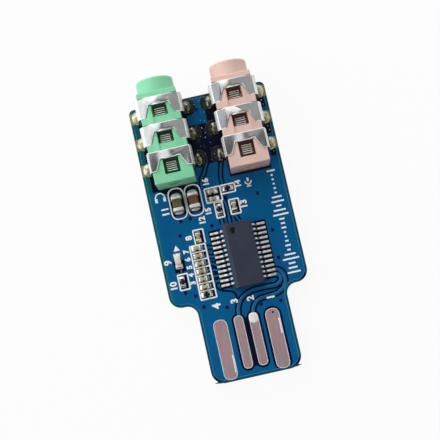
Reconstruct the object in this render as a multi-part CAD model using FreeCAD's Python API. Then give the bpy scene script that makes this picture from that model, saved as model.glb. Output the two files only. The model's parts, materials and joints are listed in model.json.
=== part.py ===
import FreeCAD, Part
import math
import os

# A plug-in sound board: a bare circuit board whose narrow end is the plug, with one sound chip,
# two round audio sockets and a scatter of small soldered parts on its upper face.
# Millimetres. X runs across the board, Y from the plug end to the socket mouths, Z up.
# The origin is the middle of the overall box, on the face that the board rests on.

# Board and its plug tongue
BOARD_THICK = 2.0
TONGUE_WIDTH = 12.0
TONGUE_LENGTH = 10.8
TONGUE_TIP_RADIUS = 1.7
SHOULDER_RADIUS = 1.6
NECK_RADIUS = 1.4
SOCKET_END_RADIUS = 0.7
EDGE_MARGIN = 0.1

# Flat contacts on the tongue
CONTACT_THICK = 0.06
OUTER_CONTACT_WIDTH = 1.85
INNER_CONTACT_WIDTH = 1.25
OUTER_CONTACT_SETBACK = 0.25
INNER_CONTACT_SETBACK = 1.2
CONTACT_TO_NECK = 2.6
CONTACT_TO_EDGE = 1.575
INNER_CONTACT_PITCH = 2.0

# Solder lands shared by every soldered part
LAND_THICK = 0.06
LAND_MARGIN = 0.08

# Sound chip: moulded body with gull-wing leads on both long sides
CHIP_WIDTH = 3.9
CHIP_LENGTH = 8.65
CHIP_HEIGHT = 1.45
CHIP_STANDOFF = 0.1
CHIP_DRAFT = 0.12
CHIP_SEAM = 0.3
CHIP_BEVEL = 0.35
CHIP_MARK_DIAMETER = 0.9
CHIP_MARK_DEPTH = 0.06
CHIP_MARK_FROM_SIDE = 1.3
CHIP_MARK_FROM_END = 1.15
LEADS_PER_SIDE = 12
LEAD_PITCH = 0.635
LEAD_WIDTH = 0.26
LEAD_THICK = 0.2
LEAD_REACH = 1.05
LEAD_SHOULDER = 0.22
LEAD_FOOT = 0.5
LEAD_TOE_LAND = 0.7

# Audio socket: moulded housing round a plug bore
BORE_DIAMETER = 3.6
BORE_LEAD_IN = 0.25
NOSE_WALL = 0.65
NOSE_LENGTH = 1.9
NOSE_ROUND = 0.25
ROOF = 0.7
SIDE_WALL = 0.8
BACK_WALL = 0.8
TIP_HOLE_DIAMETER = 2.0
HOUSING_ROUND = 0.12
SOCKET_OVERHANG = 0.75
FRONT_LIP = 0.7
CLIP_PITCH = 3.6
REAR_BLOCK = 4.25
WINDOW_WIDTH = 2.05
WINDOW_LENGTH = 1.6
REAR_WINDOW_LENGTH = 2.1
STRIP_DEPTH = 0.15

# Contact clips: folded sheet over the housing, one spring tongue each
SHEET = 0.15
CLIP_FIT = 0.02
CLIP_LENGTH = 2.6
CLIP_BAND = 1.05
CLIP_TOP_FLAT = 3.0
CLIP_SHOULDER_DROP = 0.6
CLIP_FLARE = 0.5
REAR_CLIP_FLARE = 0.15
NOTCH_FRONT_WIDTH = 2.55
NOTCH_BACK_WIDTH = 4.0
LEG_WIDTH = 1.3
LEG_HEIGHT = 1.2
LEG_SETBACK = 0.7
FOOT_REACH = 1.65
FOOT_TOE = 0.35
FEET_GAP = 1.4
SPRING_SIDE_GAP = 0.12
SPRING_CLEARANCE = 0.06
SPRING_RUN = 1.1
SPRING_TIP_RISE = 0.16

# Capacitors, resistors and lamp: outer sizes and the length of each metal end
LARGE_LENGTH = 2.0
LARGE_WIDTH = 1.25
LARGE_HEIGHT = 1.0
LARGE_END = 0.4
SMALL_LENGTH = 1.0
SMALL_WIDTH = 0.5
SMALL_HEIGHT = 0.5
SMALL_END = 0.25
RESISTOR_HEIGHT = 0.35
RESISTOR_END = 0.22
LAMP_LENGTH = 1.6
LAMP_WIDTH = 0.8
LAMP_HEIGHT = 0.25
LAMP_END = 0.3
LENS_GAP = 0.025
LENS_HEIGHT = 0.35
END_SKIN = 0.03
TOE_SOLDER = 0.25

# Layout along the board, each place measured from the one before it
CHIP_MARGIN = 0.8
LOWER_ROW_GAP = 2.18
UPPER_ROW_GAP = 1.55
UPPER_ROW_PITCH = 1.0
SOCKET_GAP = 1.72
LARGE_ROW_SETBACK = 2.32
COLUMN_START = 1.0
COLUMN_PITCH = 1.04
COLUMN_COUNT = 7
COLUMN_HEAD_GAP = 1.43
LAMP_RESISTOR_START = 3.3
LAMP_GAP = 2.82

# Layout across the board, from its left edge inwards
LAMP_INSET = 2.23
LAMP_TO_COLUMN = 2.77
COLUMN_HEAD_SHIFT = 0.52
COLUMN_TO_CHIP = 5.8
LARGE_INSET = 3.78
LARGE_PITCH = 2.21
LARGE_TO_PAIR = 2.63
PAIR_TO_RESISTOR = 2.1
LOWER_RESISTOR_SHIFT = 0.42
LOWER_PITCH = 2.01

# How close two places count as the same
NEAR = 0.01

# Sizes that follow from the driving dimensions
CLIPS = ("sleeve", "ring", "tip")
REAR_CLIP = len(CLIPS) - 1
LARGE_CAPACITOR = (LARGE_LENGTH, LARGE_WIDTH, LARGE_HEIGHT, LARGE_END)
SMALL_CAPACITOR = (SMALL_LENGTH, SMALL_WIDTH, SMALL_HEIGHT, SMALL_END)
RESISTOR = (SMALL_LENGTH, SMALL_WIDTH, RESISTOR_HEIGHT, RESISTOR_END)
LAMP = (LAMP_LENGTH, LAMP_WIDTH, LAMP_HEIGHT, LAMP_END)
BORE_RADIUS = BORE_DIAMETER / 2
NOSE_RADIUS = BORE_RADIUS + NOSE_WALL
HOUSING_HEIGHT = BORE_DIAMETER + 2 * ROOF
HOUSING_WIDTH = BORE_DIAMETER + 2 * SIDE_WALL
HOUSING_LENGTH = FRONT_LIP + REAR_CLIP * CLIP_PITCH + REAR_BLOCK
AXIS_HEIGHT = HOUSING_HEIGHT / 2
SOCKET_SPACING = HOUSING_WIDTH + 2 * FOOT_REACH + FEET_GAP
BOARD_WIDTH = SOCKET_SPACING + HOUSING_WIDTH + 2 * (FOOT_REACH + EDGE_MARGIN)
CHIP_ZONE = CHIP_MARGIN + CHIP_LENGTH
PARTS_ZONE = LOWER_ROW_GAP + UPPER_ROW_GAP + UPPER_ROW_PITCH + SOCKET_GAP
BOARD_LENGTH = TONGUE_LENGTH + CHIP_ZONE + PARTS_ZONE + HOUSING_LENGTH - SOCKET_OVERHANG
OVERALL_LENGTH = BOARD_LENGTH + SOCKET_OVERHANG + NOSE_LENGTH

# Stations that the layout is measured from
TONGUE_END = -OVERALL_LENGTH / 2
NECK = TONGUE_END + TONGUE_LENGTH
BOARD_END = TONGUE_END + BOARD_LENGTH
LOWER_ROW = NECK + CHIP_ZONE + LOWER_ROW_GAP
UPPER_ROW = LOWER_ROW + UPPER_ROW_GAP + UPPER_ROW_PITCH
SOCKET_BACK = UPPER_ROW + SOCKET_GAP
COLUMN_FOOT = NECK + COLUMN_START
COLUMN_TOP = COLUMN_FOOT + (COLUMN_COUNT - 1) * COLUMN_PITCH
LAMP_RESISTOR_ROW = NECK + LAMP_RESISTOR_START
LAMP_X = -BOARD_WIDTH / 2 + LAMP_INSET
COLUMN_X = LAMP_X + LAMP_TO_COLUMN
CHIP_X = COLUMN_X + COLUMN_TO_CHIP
LARGE_X = -BOARD_WIDTH / 2 + LARGE_INSET
PAIR_X = LARGE_X + LARGE_PITCH + LARGE_TO_PAIR
LOWER_RESISTOR_X = PAIR_X + LOWER_RESISTOR_SHIFT

ORIGIN = FreeCAD.Vector(0, 0, 0)
UP = FreeCAD.Vector(0, 0, 1)
FORWARD = FreeCAD.Vector(0, 1, 0)


def block(x_low, x_high, y_low, y_high, z_low, z_high):
    """A box between two opposite corners."""
    corner = FreeCAD.Vector(x_low, y_low, z_low)
    return Part.makeBox(x_high - x_low, y_high - y_low, z_high - z_low, corner)


def prism(points, travel):
    """A straight-sided solid: a closed polygon of 3-D points, swept along one vector."""
    vectors = [FreeCAD.Vector(*point) for point in points]
    wire = Part.makePolygon(vectors + vectors[:1])
    return Part.Face(wire).extrude(travel)


def offset_path(path, distance):
    """An open 2-D path moved sideways to its left, with mitred corners."""
    normals = []
    for (x1, y1), (x2, y2) in zip(path, path[1:]):
        run = math.hypot(x2 - x1, y2 - y1)
        normals.append(((y1 - y2) / run, (x2 - x1) / run))
    before = normals[:1] + normals
    after = normals + normals[-1:]
    moved = []
    for (x, y), (ax, ay), (bx, by) in zip(path, before, after):
        stretch = distance / (1 + ax * bx + ay * by)
        moved.append((x + (ax + bx) * stretch, y + (ay + by) * stretch))
    return moved


def sheet_section(path, thick):
    """The closed outline of a bent sheet whose right-hand face follows an open 2-D path."""
    return path + offset_path(path, thick)[::-1]


def placed(shape, x, y, z, turned=False):
    """A copy of a shape, turned a quarter about the vertical if asked, then moved to a place."""
    copy = shape.copy()
    if turned:
        copy.rotate(ORIGIN, UP, 90)
    copy.translate(FreeCAD.Vector(x, y, z))
    return copy


def upright_edges(shape, places):
    """The vertical edges of a shape that stand at the given plan positions."""
    chosen = []
    for edge in shape.Edges:
        first = edge.Vertexes[0].Point
        last = edge.Vertexes[-1].Point
        upright = math.hypot(first.x - last.x, first.y - last.y) < NEAR
        near = any(math.hypot(first.x - x, first.y - y) < NEAR for x, y in places)
        if upright and near:
            chosen.append(edge)
    return chosen


def circuit_board():
    """The board: a wide field, a narrower plug tongue, and rounded corners in plan."""
    half = BOARD_WIDTH / 2
    tongue_half = TONGUE_WIDTH / 2
    field = block(-half, half, NECK, BOARD_END, 0, BOARD_THICK)
    tongue = block(-tongue_half, tongue_half, TONGUE_END, NECK, 0, BOARD_THICK)
    board = field.fuse(tongue).removeSplitter()
    half_ledge = (half - tongue_half) / 2 - NEAR
    corners = [
        (TONGUE_TIP_RADIUS, tongue_half, TONGUE_END),
        (min(NECK_RADIUS, half_ledge), tongue_half, NECK),
        (min(SHOULDER_RADIUS, half_ledge), half, NECK),
        (SOCKET_END_RADIUS, half, BOARD_END),
    ]
    for radius, x, y in corners:
        edges = upright_edges(board, [(-x, y), (x, y)])
        board = board.makeFillet(radius, edges)
    return board


def flat_contact(x, width, setback):
    """One plug contact: a flat strip with round ends, lying on the tongue."""
    radius = width / 2
    start = TONGUE_END + setback + radius
    end = NECK - CONTACT_TO_NECK - radius
    level = BOARD_THICK
    strip = block(x - radius, x + radius, start, end, level, level + CONTACT_THICK)
    for y in (start, end):
        round_end = Part.makeCylinder(radius, CONTACT_THICK, FreeCAD.Vector(x, y, level))
        strip = strip.fuse(round_end)
    return strip.removeSplitter()


def chip_body():
    """The moulded chip body: drafted sides, a bevel along the first-lead side and a round mark."""
    low = CHIP_STANDOFF
    high = low + CHIP_HEIGHT
    seam_low = low + (CHIP_HEIGHT - CHIP_SEAM) / 2
    seam_high = seam_low + CHIP_SEAM
    half = CHIP_WIDTH / 2
    half_length = CHIP_LENGTH / 2
    across = [
        (CHIP_DRAFT - half, low), (half - CHIP_DRAFT, low), (half, seam_low), (half, seam_high),
        (half - CHIP_DRAFT, high), (CHIP_DRAFT + CHIP_BEVEL - half, high),
        (CHIP_DRAFT / 2 - half, high - CHIP_BEVEL), (-half, seam_high), (-half, seam_low),
    ]
    along = [
        (CHIP_DRAFT - half_length, low), (half_length - CHIP_DRAFT, low), (half_length, seam_low),
        (half_length, seam_high), (half_length - CHIP_DRAFT, high), (CHIP_DRAFT - half_length, high),
        (-half_length, seam_high), (-half_length, seam_low),
    ]
    side_form = prism([(x, -half_length, z) for x, z in across], FORWARD * CHIP_LENGTH)
    end_form = prism([(-half, y, z) for y, z in along], FreeCAD.Vector(CHIP_WIDTH, 0, 0))
    mark_place = FreeCAD.Vector(
        CHIP_MARK_FROM_SIDE - half, half_length - CHIP_MARK_FROM_END, high - CHIP_MARK_DEPTH)
    mark = Part.makeCylinder(CHIP_MARK_DIAMETER / 2, CHIP_MARK_DEPTH, mark_place)
    return side_form.common(end_form).cut(mark)


def chip_lead():
    """One gull-wing lead of the right-hand row, centred on its pitch line."""
    root = CHIP_WIDTH / 2
    level = CHIP_STANDOFF + (CHIP_HEIGHT - LEAD_THICK) / 2
    path = [
        (root, level),
        (root + LEAD_SHOULDER, level),
        (root + LEAD_REACH - LEAD_FOOT, 0),
        (root + LEAD_REACH, 0),
    ]
    outline = [(x, -LEAD_WIDTH / 2, z) for x, z in sheet_section(path, LEAD_THICK)]
    return prism(outline, FORWARD * LEAD_WIDTH)


def chip_land():
    """The solder land under one lead's foot."""
    heel = CHIP_WIDTH / 2 + LEAD_REACH - LEAD_FOOT - LAND_MARGIN
    toe = CHIP_WIDTH / 2 + LEAD_REACH + LEAD_TOE_LAND
    half = LEAD_WIDTH / 2 + LAND_MARGIN
    return block(heel, toe, -half, half, -LAND_THICK, 0)


def both_rows(shape):
    """Copies of a right-hand lead or land at every pitch of both rows."""
    mirrored = shape.mirror(ORIGIN, FreeCAD.Vector(1, 0, 0))
    start = -(LEADS_PER_SIDE - 1) / 2 * LEAD_PITCH
    copies = []
    for index in range(LEADS_PER_SIDE):
        for side in (shape, mirrored):
            copies.append(placed(side, 0, start + index * LEAD_PITCH, 0))
    return Part.makeCompound(copies)


def clip_front(index):
    """How far behind the housing's front face the front edge of a clip lies."""
    return FRONT_LIP + index * CLIP_PITCH


def window_length(index):
    """The length of the roof window behind a clip's band: the rear one is longer."""
    return REAR_WINDOW_LENGTH if index == REAR_CLIP else WINDOW_LENGTH


def clip_heel(index):
    """Where a clip's side wall meets its foot, from the middle of the housing."""
    flare = REAR_CLIP_FLARE if index == REAR_CLIP else CLIP_FLARE
    return HOUSING_WIDTH / 2 + CLIP_FIT + flare


def clip_path(index):
    """Inner face of a clip in the X-Z plane, from the left foot over the roof to the right foot."""
    side = HOUSING_WIDTH / 2 + CLIP_FIT
    roof = HOUSING_HEIGHT + CLIP_FIT
    toe = HOUSING_WIDTH / 2 + FOOT_REACH - FOOT_TOE
    corner = [(side, roof)]
    if index != REAR_CLIP:
        corner = [(CLIP_TOP_FLAT / 2, roof), (side, HOUSING_HEIGHT - CLIP_SHOULDER_DROP)]
    right = corner + [(clip_heel(index), LAND_THICK), (toe, LAND_THICK)]
    left = [(-x, z) for x, z in right[::-1]]
    return left + right


def spring_tongue(index):
    """The clip's spring: it leaves the band, dips to just clear of the plug and turns up at its tip."""
    half = WINDOW_WIDTH / 2 - SPRING_SIDE_GAP
    root = -clip_front(index) - CLIP_BAND
    roof = HOUSING_HEIGHT + CLIP_FIT
    dip = AXIS_HEIGHT + BORE_RADIUS + SPRING_CLEARANCE
    path = [
        (root - SPRING_RUN, dip + SPRING_TIP_RISE),
        (root - SPRING_RUN * 3 / 4, dip),
        (root - SPRING_RUN / 2, dip),
        (root, roof),
        (root + CLIP_BAND / 2, roof),
    ]
    outline = [(-half, y, z) for y, z in sheet_section(path, SHEET)]
    return prism(outline, FreeCAD.Vector(2 * half, 0, 0))


def contact_clip(index):
    """One folded contact: band, two lobes beside a tapered notch, side walls, legs, feet and spring."""
    front = -clip_front(index)
    back = front - CLIP_LENGTH
    path = clip_path(index)
    section = [(x, back, z) for x, z in sheet_section(path, SHEET)]
    clip = prism(section, FORWARD * CLIP_LENGTH)
    top = HOUSING_HEIGHT + CLIP_FIT + SHEET
    notch_floor = HOUSING_HEIGHT - CLIP_SHOULDER_DROP
    notch_front = front - CLIP_BAND
    notch = prism(
        [
            (-NOTCH_FRONT_WIDTH / 2, notch_front, notch_floor),
            (NOTCH_FRONT_WIDTH / 2, notch_front, notch_floor),
            (NOTCH_BACK_WIDTH / 2, back, notch_floor),
            (-NOTCH_BACK_WIDTH / 2, back, notch_floor),
        ],
        UP * (top - notch_floor))
    reach = HOUSING_WIDTH / 2 + FOOT_REACH
    leg_front = front - LEG_SETBACK
    before_leg = block(-reach, reach, leg_front, front, 0, LEG_HEIGHT)
    behind_leg = block(-reach, reach, back, leg_front - LEG_WIDTH, 0, LEG_HEIGHT)
    for waste in (notch, before_leg, behind_leg):
        clip = clip.cut(waste)
    return clip.fuse(spring_tongue(index)).removeSplitter()


def clip_solder(index):
    """The two solder joints of a clip: a land under each foot and a wedge against its toe."""
    middle = -clip_front(index) - LEG_SETBACK - LEG_WIDTH / 2
    half = LEG_WIDTH / 2 + LAND_MARGIN
    toe = HOUSING_WIDTH / 2 + FOOT_REACH - FOOT_TOE
    end = HOUSING_WIDTH / 2 + FOOT_REACH
    heel = clip_heel(index)
    outline = [(heel, 0), (end, 0), (end, LAND_THICK), (toe, LAND_THICK + SHEET), (toe, LAND_THICK),
               (heel, LAND_THICK)]
    joint = prism([(x, middle - half, z) for x, z in outline], FORWARD * (2 * half))
    return [joint, joint.mirror(ORIGIN, FreeCAD.Vector(1, 0, 0))]


def clip_shoulder_cuts(index):
    """Corner prisms that leave the housing room under a clip's sloping shoulders."""
    side = HOUSING_WIDTH / 2
    roof = HOUSING_HEIGHT
    front = -clip_front(index) + CLIP_FIT
    length = CLIP_LENGTH + 2 * CLIP_FIT
    corner = [
        (CLIP_TOP_FLAT / 2 - CLIP_FIT, roof),
        (side, roof - CLIP_SHOULDER_DROP - CLIP_FIT),
        (side, roof),
    ]
    right = prism([(x, front - length, z) for x, z in corner], FORWARD * length)
    return [right, right.mirror(ORIGIN, FreeCAD.Vector(1, 0, 0))]


def roof_cuts(index):
    """The window that a spring reaches through, and the shallow strip from it to the next clip."""
    half = WINDOW_WIDTH / 2
    front = -clip_front(index) - CLIP_BAND + SPRING_SIDE_GAP
    back = -clip_front(index) - CLIP_BAND - window_length(index)
    cuts = [block(-half, half, back, front, AXIS_HEIGHT, HOUSING_HEIGHT)]
    if index != REAR_CLIP:
        next_clip = -clip_front(index + 1)
        cuts.append(block(-half, half, next_clip, back, HOUSING_HEIGHT - STRIP_DEPTH, HOUSING_HEIGHT))
    return cuts


def socket_housing():
    """The moulded socket, its front face on the X-Z plane and its nose pointing along +Y."""
    body = block(-HOUSING_WIDTH / 2, HOUSING_WIDTH / 2, -HOUSING_LENGTH, 0, 0, HOUSING_HEIGHT)
    rounded = [edge for edge in body.Edges if edge.BoundBox.ZMax > LAND_THICK]
    body = body.makeFillet(HOUSING_ROUND, rounded)
    axis = FreeCAD.Vector(0, 0, AXIS_HEIGHT)
    nose_root = axis - FORWARD * FRONT_LIP
    nose_front = axis + FORWARD * NOSE_LENGTH
    nose = Part.makeCylinder(NOSE_RADIUS, NOSE_LENGTH + FRONT_LIP, nose_root, FORWARD)
    rim = [edge for edge in nose.Edges if edge.BoundBox.YMin > NOSE_LENGTH / 2]
    nose = nose.makeFillet(NOSE_ROUND, rim)
    housing = body.fuse(nose).removeSplitter()
    bore_length = NOSE_LENGTH + HOUSING_LENGTH - BACK_WALL
    bore = Part.makeCylinder(BORE_RADIUS, bore_length, nose_front, -FORWARD)
    lead_in = Part.makeCone(
        BORE_RADIUS, BORE_RADIUS + BORE_LEAD_IN, BORE_LEAD_IN, nose_front - FORWARD * BORE_LEAD_IN, FORWARD)
    bore_end = nose_front - FORWARD * bore_length
    tip_hole = Part.makeCylinder(TIP_HOLE_DIAMETER / 2, BACK_WALL, bore_end, -FORWARD)
    cuts = [bore, lead_in, tip_hole]
    for index in range(len(CLIPS)):
        cuts.extend(roof_cuts(index))
    for index in range(REAR_CLIP):
        cuts.extend(clip_shoulder_cuts(index))
    for cut in cuts:
        housing = housing.cut(cut)
    return housing.removeSplitter()


def end_cup(length, width, height, band):
    """The metal end of a part, its outer end towards +X: a cup over the end of the inner block."""
    outer = block(length / 2 - band, length / 2, -width / 2, width / 2, 0, height)
    inner = inner_block(length, width, height)
    return outer.cut(inner)


def inner_block(length, width, height):
    """The ceramic of a two-terminal part, a skin's thickness inside its metal ends."""
    return block(
        END_SKIN - length / 2, length / 2 - END_SKIN,
        END_SKIN - width / 2, width / 2 - END_SKIN,
        END_SKIN, height - END_SKIN)


def both_ends(shape):
    """A +X end piece with its mirror image at the other end."""
    return [shape, shape.mirror(ORIGIN, FreeCAD.Vector(1, 0, 0))]


def toe_joint(length, width, height, band):
    """The solder joint of a +X end: a land under the metal end and a wedge against its outer face."""
    half = width / 2 + LAND_MARGIN
    heel = length / 2 - band - LAND_MARGIN
    end = length / 2 + TOE_SOLDER
    outline = [(heel, -LAND_THICK), (end, -LAND_THICK), (end, 0), (length / 2, height / 2), (length / 2, 0),
               (heel, 0)]
    return prism([(x, -half, z) for x, z in outline], FORWARD * (2 * half))


def two_terminal_part(size):
    """Block, pair of metal ends and pair of solder joints of a part that lies along X on its lands."""
    block_solid = inner_block(*size[:3])
    ends = both_ends(end_cup(*size))
    joints = both_ends(toe_joint(*size))
    return block_solid, ends, joints


def small_part_places():
    """Every small part: name, size, place across and along the board, and if it lies along the board."""
    places = []
    large_row = SOCKET_BACK - LARGE_ROW_SETBACK
    head_x = COLUMN_X + COLUMN_HEAD_SHIFT
    head_row = COLUMN_TOP + COLUMN_HEAD_GAP
    for x in (LARGE_X, LARGE_X + LARGE_PITCH):
        places.append(("coupling_capacitor", LARGE_CAPACITOR, x, large_row, True))
    for row in (UPPER_ROW, UPPER_ROW - UPPER_ROW_PITCH):
        places.append(("small_capacitor", SMALL_CAPACITOR, PAIR_X, row, False))
    places.append(("small_capacitor", SMALL_CAPACITOR, LOWER_RESISTOR_X + LOWER_PITCH, LOWER_ROW, True))
    places.append(("small_capacitor", SMALL_CAPACITOR, head_x, head_row, True))
    for index in range(1, COLUMN_COUNT):
        row = COLUMN_FOOT + index * COLUMN_PITCH
        places.append(("small_capacitor", SMALL_CAPACITOR, COLUMN_X, row, False))
    places.append(("resistor", RESISTOR, COLUMN_X, COLUMN_FOOT, False))
    places.append(("resistor", RESISTOR, PAIR_X + PAIR_TO_RESISTOR, UPPER_ROW, False))
    places.append(("resistor", RESISTOR, LOWER_RESISTOR_X, LOWER_ROW, True))
    places.append(("resistor", RESISTOR, LAMP_X, LAMP_RESISTOR_ROW, True))
    return places


def board_nodes():
    """The board with its four flat contacts."""
    outer = TONGUE_WIDTH / 2 - CONTACT_TO_EDGE - OUTER_CONTACT_WIDTH / 2
    inner = INNER_CONTACT_PITCH / 2
    return {
        "circuit_board": circuit_board(),
        "ground_contact": flat_contact(-outer, OUTER_CONTACT_WIDTH, OUTER_CONTACT_SETBACK),
        "data_plus_contact": flat_contact(-inner, INNER_CONTACT_WIDTH, INNER_CONTACT_SETBACK),
        "data_minus_contact": flat_contact(inner, INNER_CONTACT_WIDTH, INNER_CONTACT_SETBACK),
        "power_contact": flat_contact(outer, OUTER_CONTACT_WIDTH, OUTER_CONTACT_SETBACK),
    }


def chip_nodes():
    """The chip's body, leads and solder lands, with the leads' feet on the lands."""
    x = CHIP_X
    y = NECK + CHIP_MARGIN + CHIP_LENGTH / 2
    level = BOARD_THICK + LAND_THICK
    return {
        "chip_body": placed(chip_body(), x, y, level),
        "chip_leads": placed(both_rows(chip_lead()), x, y, level),
        "chip_lands": placed(both_rows(chip_land()), x, y, level),
    }


def socket_nodes():
    """Both sockets: a housing, three contact clips and their solder joints each."""
    nodes = {}
    front = SOCKET_BACK + HOUSING_LENGTH
    for name, side in (("headphone", -1), ("microphone", 1)):
        x = side * SOCKET_SPACING / 2
        joints = []
        nodes[name + "_socket_housing"] = placed(socket_housing(), x, front, BOARD_THICK)
        for index, clip in enumerate(CLIPS):
            nodes[name + "_" + clip + "_clip"] = placed(contact_clip(index), x, front, BOARD_THICK)
            joints.extend(clip_solder(index))
        nodes[name + "_socket_solder"] = placed(Part.makeCompound(joints), x, front, BOARD_THICK)
    return nodes


def small_part_nodes():
    """The capacitors and resistors, each as a block and its metal ends, and all their solder joints."""
    nodes = {}
    counts = {}
    solder = []
    level = BOARD_THICK + LAND_THICK
    for name, size, x, y, turned in small_part_places():
        counts[name] = counts.get(name, 0) + 1
        node = name + "_" + str(counts[name])
        body, ends, joints = two_terminal_part(size)
        nodes[node] = placed(body, x, y, level, turned)
        nodes[node + "_ends"] = placed(Part.makeCompound(ends), x, y, level, turned)
        solder.extend(placed(joint, x, y, level, turned) for joint in joints)
    nodes["small_part_solder"] = Part.makeCompound(solder)
    return nodes


def lamp_nodes():
    """The indicator lamp: a flat base in two metal ends, with a block of clear resin on it."""
    base, ends, joints = two_terminal_part(LAMP)
    lens_half = LAMP_LENGTH / 2 - LAMP_END - LENS_GAP
    half = LAMP_WIDTH / 2
    lens = block(-lens_half, lens_half, -half, half, LAMP_HEIGHT - END_SKIN, LAMP_HEIGHT + LENS_HEIGHT)
    pieces = {
        "lamp_base": base,
        "lamp_ends": Part.makeCompound(ends),
        "lamp_lens": lens,
        "lamp_solder": Part.makeCompound(joints),
    }
    y = LAMP_RESISTOR_ROW + LAMP_GAP
    level = BOARD_THICK + LAND_THICK
    return {name: placed(piece, LAMP_X, y, level, True) for name, piece in pieces.items()}


def main():
    """Build every node and write it to its own file."""
    os.makedirs("parts", exist_ok=True)
    for group in (board_nodes, chip_nodes, socket_nodes, small_part_nodes, lamp_nodes):
        for name, shape in group().items():
            shape.exportStep("parts/" + name + ".step")


main()
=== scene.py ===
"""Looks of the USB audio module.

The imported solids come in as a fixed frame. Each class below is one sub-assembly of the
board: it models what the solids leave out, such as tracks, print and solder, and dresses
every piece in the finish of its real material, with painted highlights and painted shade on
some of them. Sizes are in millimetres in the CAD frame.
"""

import json
import logging
import math
from dataclasses import dataclass
from enum import Enum
from typing import Callable, ClassVar, Sequence

import bmesh
import bpy
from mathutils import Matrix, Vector

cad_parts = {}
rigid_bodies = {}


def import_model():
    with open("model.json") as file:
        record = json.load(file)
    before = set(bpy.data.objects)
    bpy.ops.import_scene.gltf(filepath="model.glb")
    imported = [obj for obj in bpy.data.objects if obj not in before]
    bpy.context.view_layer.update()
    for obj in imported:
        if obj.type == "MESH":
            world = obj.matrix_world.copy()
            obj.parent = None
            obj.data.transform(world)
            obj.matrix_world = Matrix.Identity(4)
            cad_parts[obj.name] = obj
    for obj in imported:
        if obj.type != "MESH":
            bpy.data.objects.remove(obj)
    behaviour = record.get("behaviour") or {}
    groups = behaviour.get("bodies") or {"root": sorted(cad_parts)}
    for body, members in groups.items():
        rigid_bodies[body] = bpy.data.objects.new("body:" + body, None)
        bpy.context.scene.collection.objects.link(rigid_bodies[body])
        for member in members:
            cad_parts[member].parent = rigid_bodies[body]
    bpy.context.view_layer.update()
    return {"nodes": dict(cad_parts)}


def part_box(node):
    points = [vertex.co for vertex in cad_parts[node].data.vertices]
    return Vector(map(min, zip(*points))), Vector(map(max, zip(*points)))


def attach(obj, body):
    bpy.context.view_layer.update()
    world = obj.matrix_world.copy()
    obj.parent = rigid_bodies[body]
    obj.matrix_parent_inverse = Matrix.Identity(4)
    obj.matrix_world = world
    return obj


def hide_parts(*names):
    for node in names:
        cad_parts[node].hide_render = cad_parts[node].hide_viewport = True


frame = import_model()

LOG = logging.getLogger("usb_audio_module")
BODY = "root"
MM = 0.001
MICROMETRE = 1e-6
# Points nearer to each other than this are one point.
CLOSE = 0.0005 * MM
# The wave texture passes through this many radians in each unit of its scale.
WAVE_RADIANS = 20.0
# An edge that turns by more than this is sharp.
SHARP = math.radians(40.0)
# Faces that turn by less than this are one flat face.
FLAT = math.radians(0.3)
# Edges that turn by less than this many degrees are shaded smooth, for three kinds of work.
FLAT_WORK, EASED_WORK, ROUND_WORK = 30.0, 50.0, 60.0
# A face whose normal rises more than this faces up.
UPWARD = 0.9
BOARD_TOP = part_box("circuit_board")[1].z / MM

Piece = bpy.types.Object
Tree = bpy.types.NodeTree
Wire = bpy.types.NodeSocket
Point = tuple[float, float]
Span = tuple[float, float]
Area = tuple[float, float, float, float]
Colour = tuple[float, float, float, float]
FaceTest = Callable[[Vector, Vector], bool]


class Slot(Enum):
    """The record's material slots."""

    SOLDER_MASK = "solder_mask"
    TINNED_COPPER = "tinned_copper"
    CHIP_EPOXY = "chip_epoxy"
    TINNED_LEAD = "tinned_lead"
    SOLDER = "solder"
    MINT_PLASTIC = "mint_plastic"
    PINK_PLASTIC = "pink_plastic"
    NICKEL_SHEET = "nickel_sheet"
    BROWN_CERAMIC = "brown_ceramic"
    TAN_CERAMIC = "tan_ceramic"
    RESISTOR_GLAZE = "resistor_glaze"
    LAMP_SUBSTRATE = "lamp_substrate"
    LAMP_RESIN = "lamp_resin"


def linear(hex_colour: str) -> Colour:
    """Turn an sRGB hex value into a linear colour.

    Args:
        hex_colour: The colour as "#RRGGBB".

    Returns:
        Linear red, green and blue, and an alpha of 1.
    """
    parts = [int(hex_colour[i : i + 2], 16) / 255 for i in (1, 3, 5)]
    lit = [c / 12.92 if c <= 0.04045 else ((c + 0.055) / 1.055) ** 2.4 for c in parts]
    return (lit[0], lit[1], lit[2], 1.0)


def per_mm(size: float) -> float:
    """Return the texture scale at which one feature is this many millimetres wide."""
    return 1.0 / (size * MM)


def empty_tree(owner: bpy.types.Material | bpy.types.World) -> Tree:
    """Give a material or a world its nodes and return their tree, emptied."""
    owner.use_nodes = True
    owner.node_tree.nodes.clear()
    return owner.node_tree


def add_node(
    tree: Tree, kind: str, inputs: dict | None = None, **settings: object
) -> bpy.types.NodeOutputs:
    """Add a shader node with its settings and links.

    Args:
        tree: The node tree that gets the node.
        kind: The node's type name, without the ShaderNode that it starts with.
        inputs: A value or an output socket for each input, by name or number.
        **settings: The node's own properties.

    Returns:
        The new node's output sockets.
    """
    node = tree.nodes.new(f"ShaderNode{kind}")
    for key, value in settings.items():
        setattr(node, key, value)
    for key, value in (inputs or {}).items():
        if isinstance(value, Wire):
            tree.links.new(value, node.inputs[key])
        else:
            node.inputs[key].default_value = value
    return node.outputs


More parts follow.
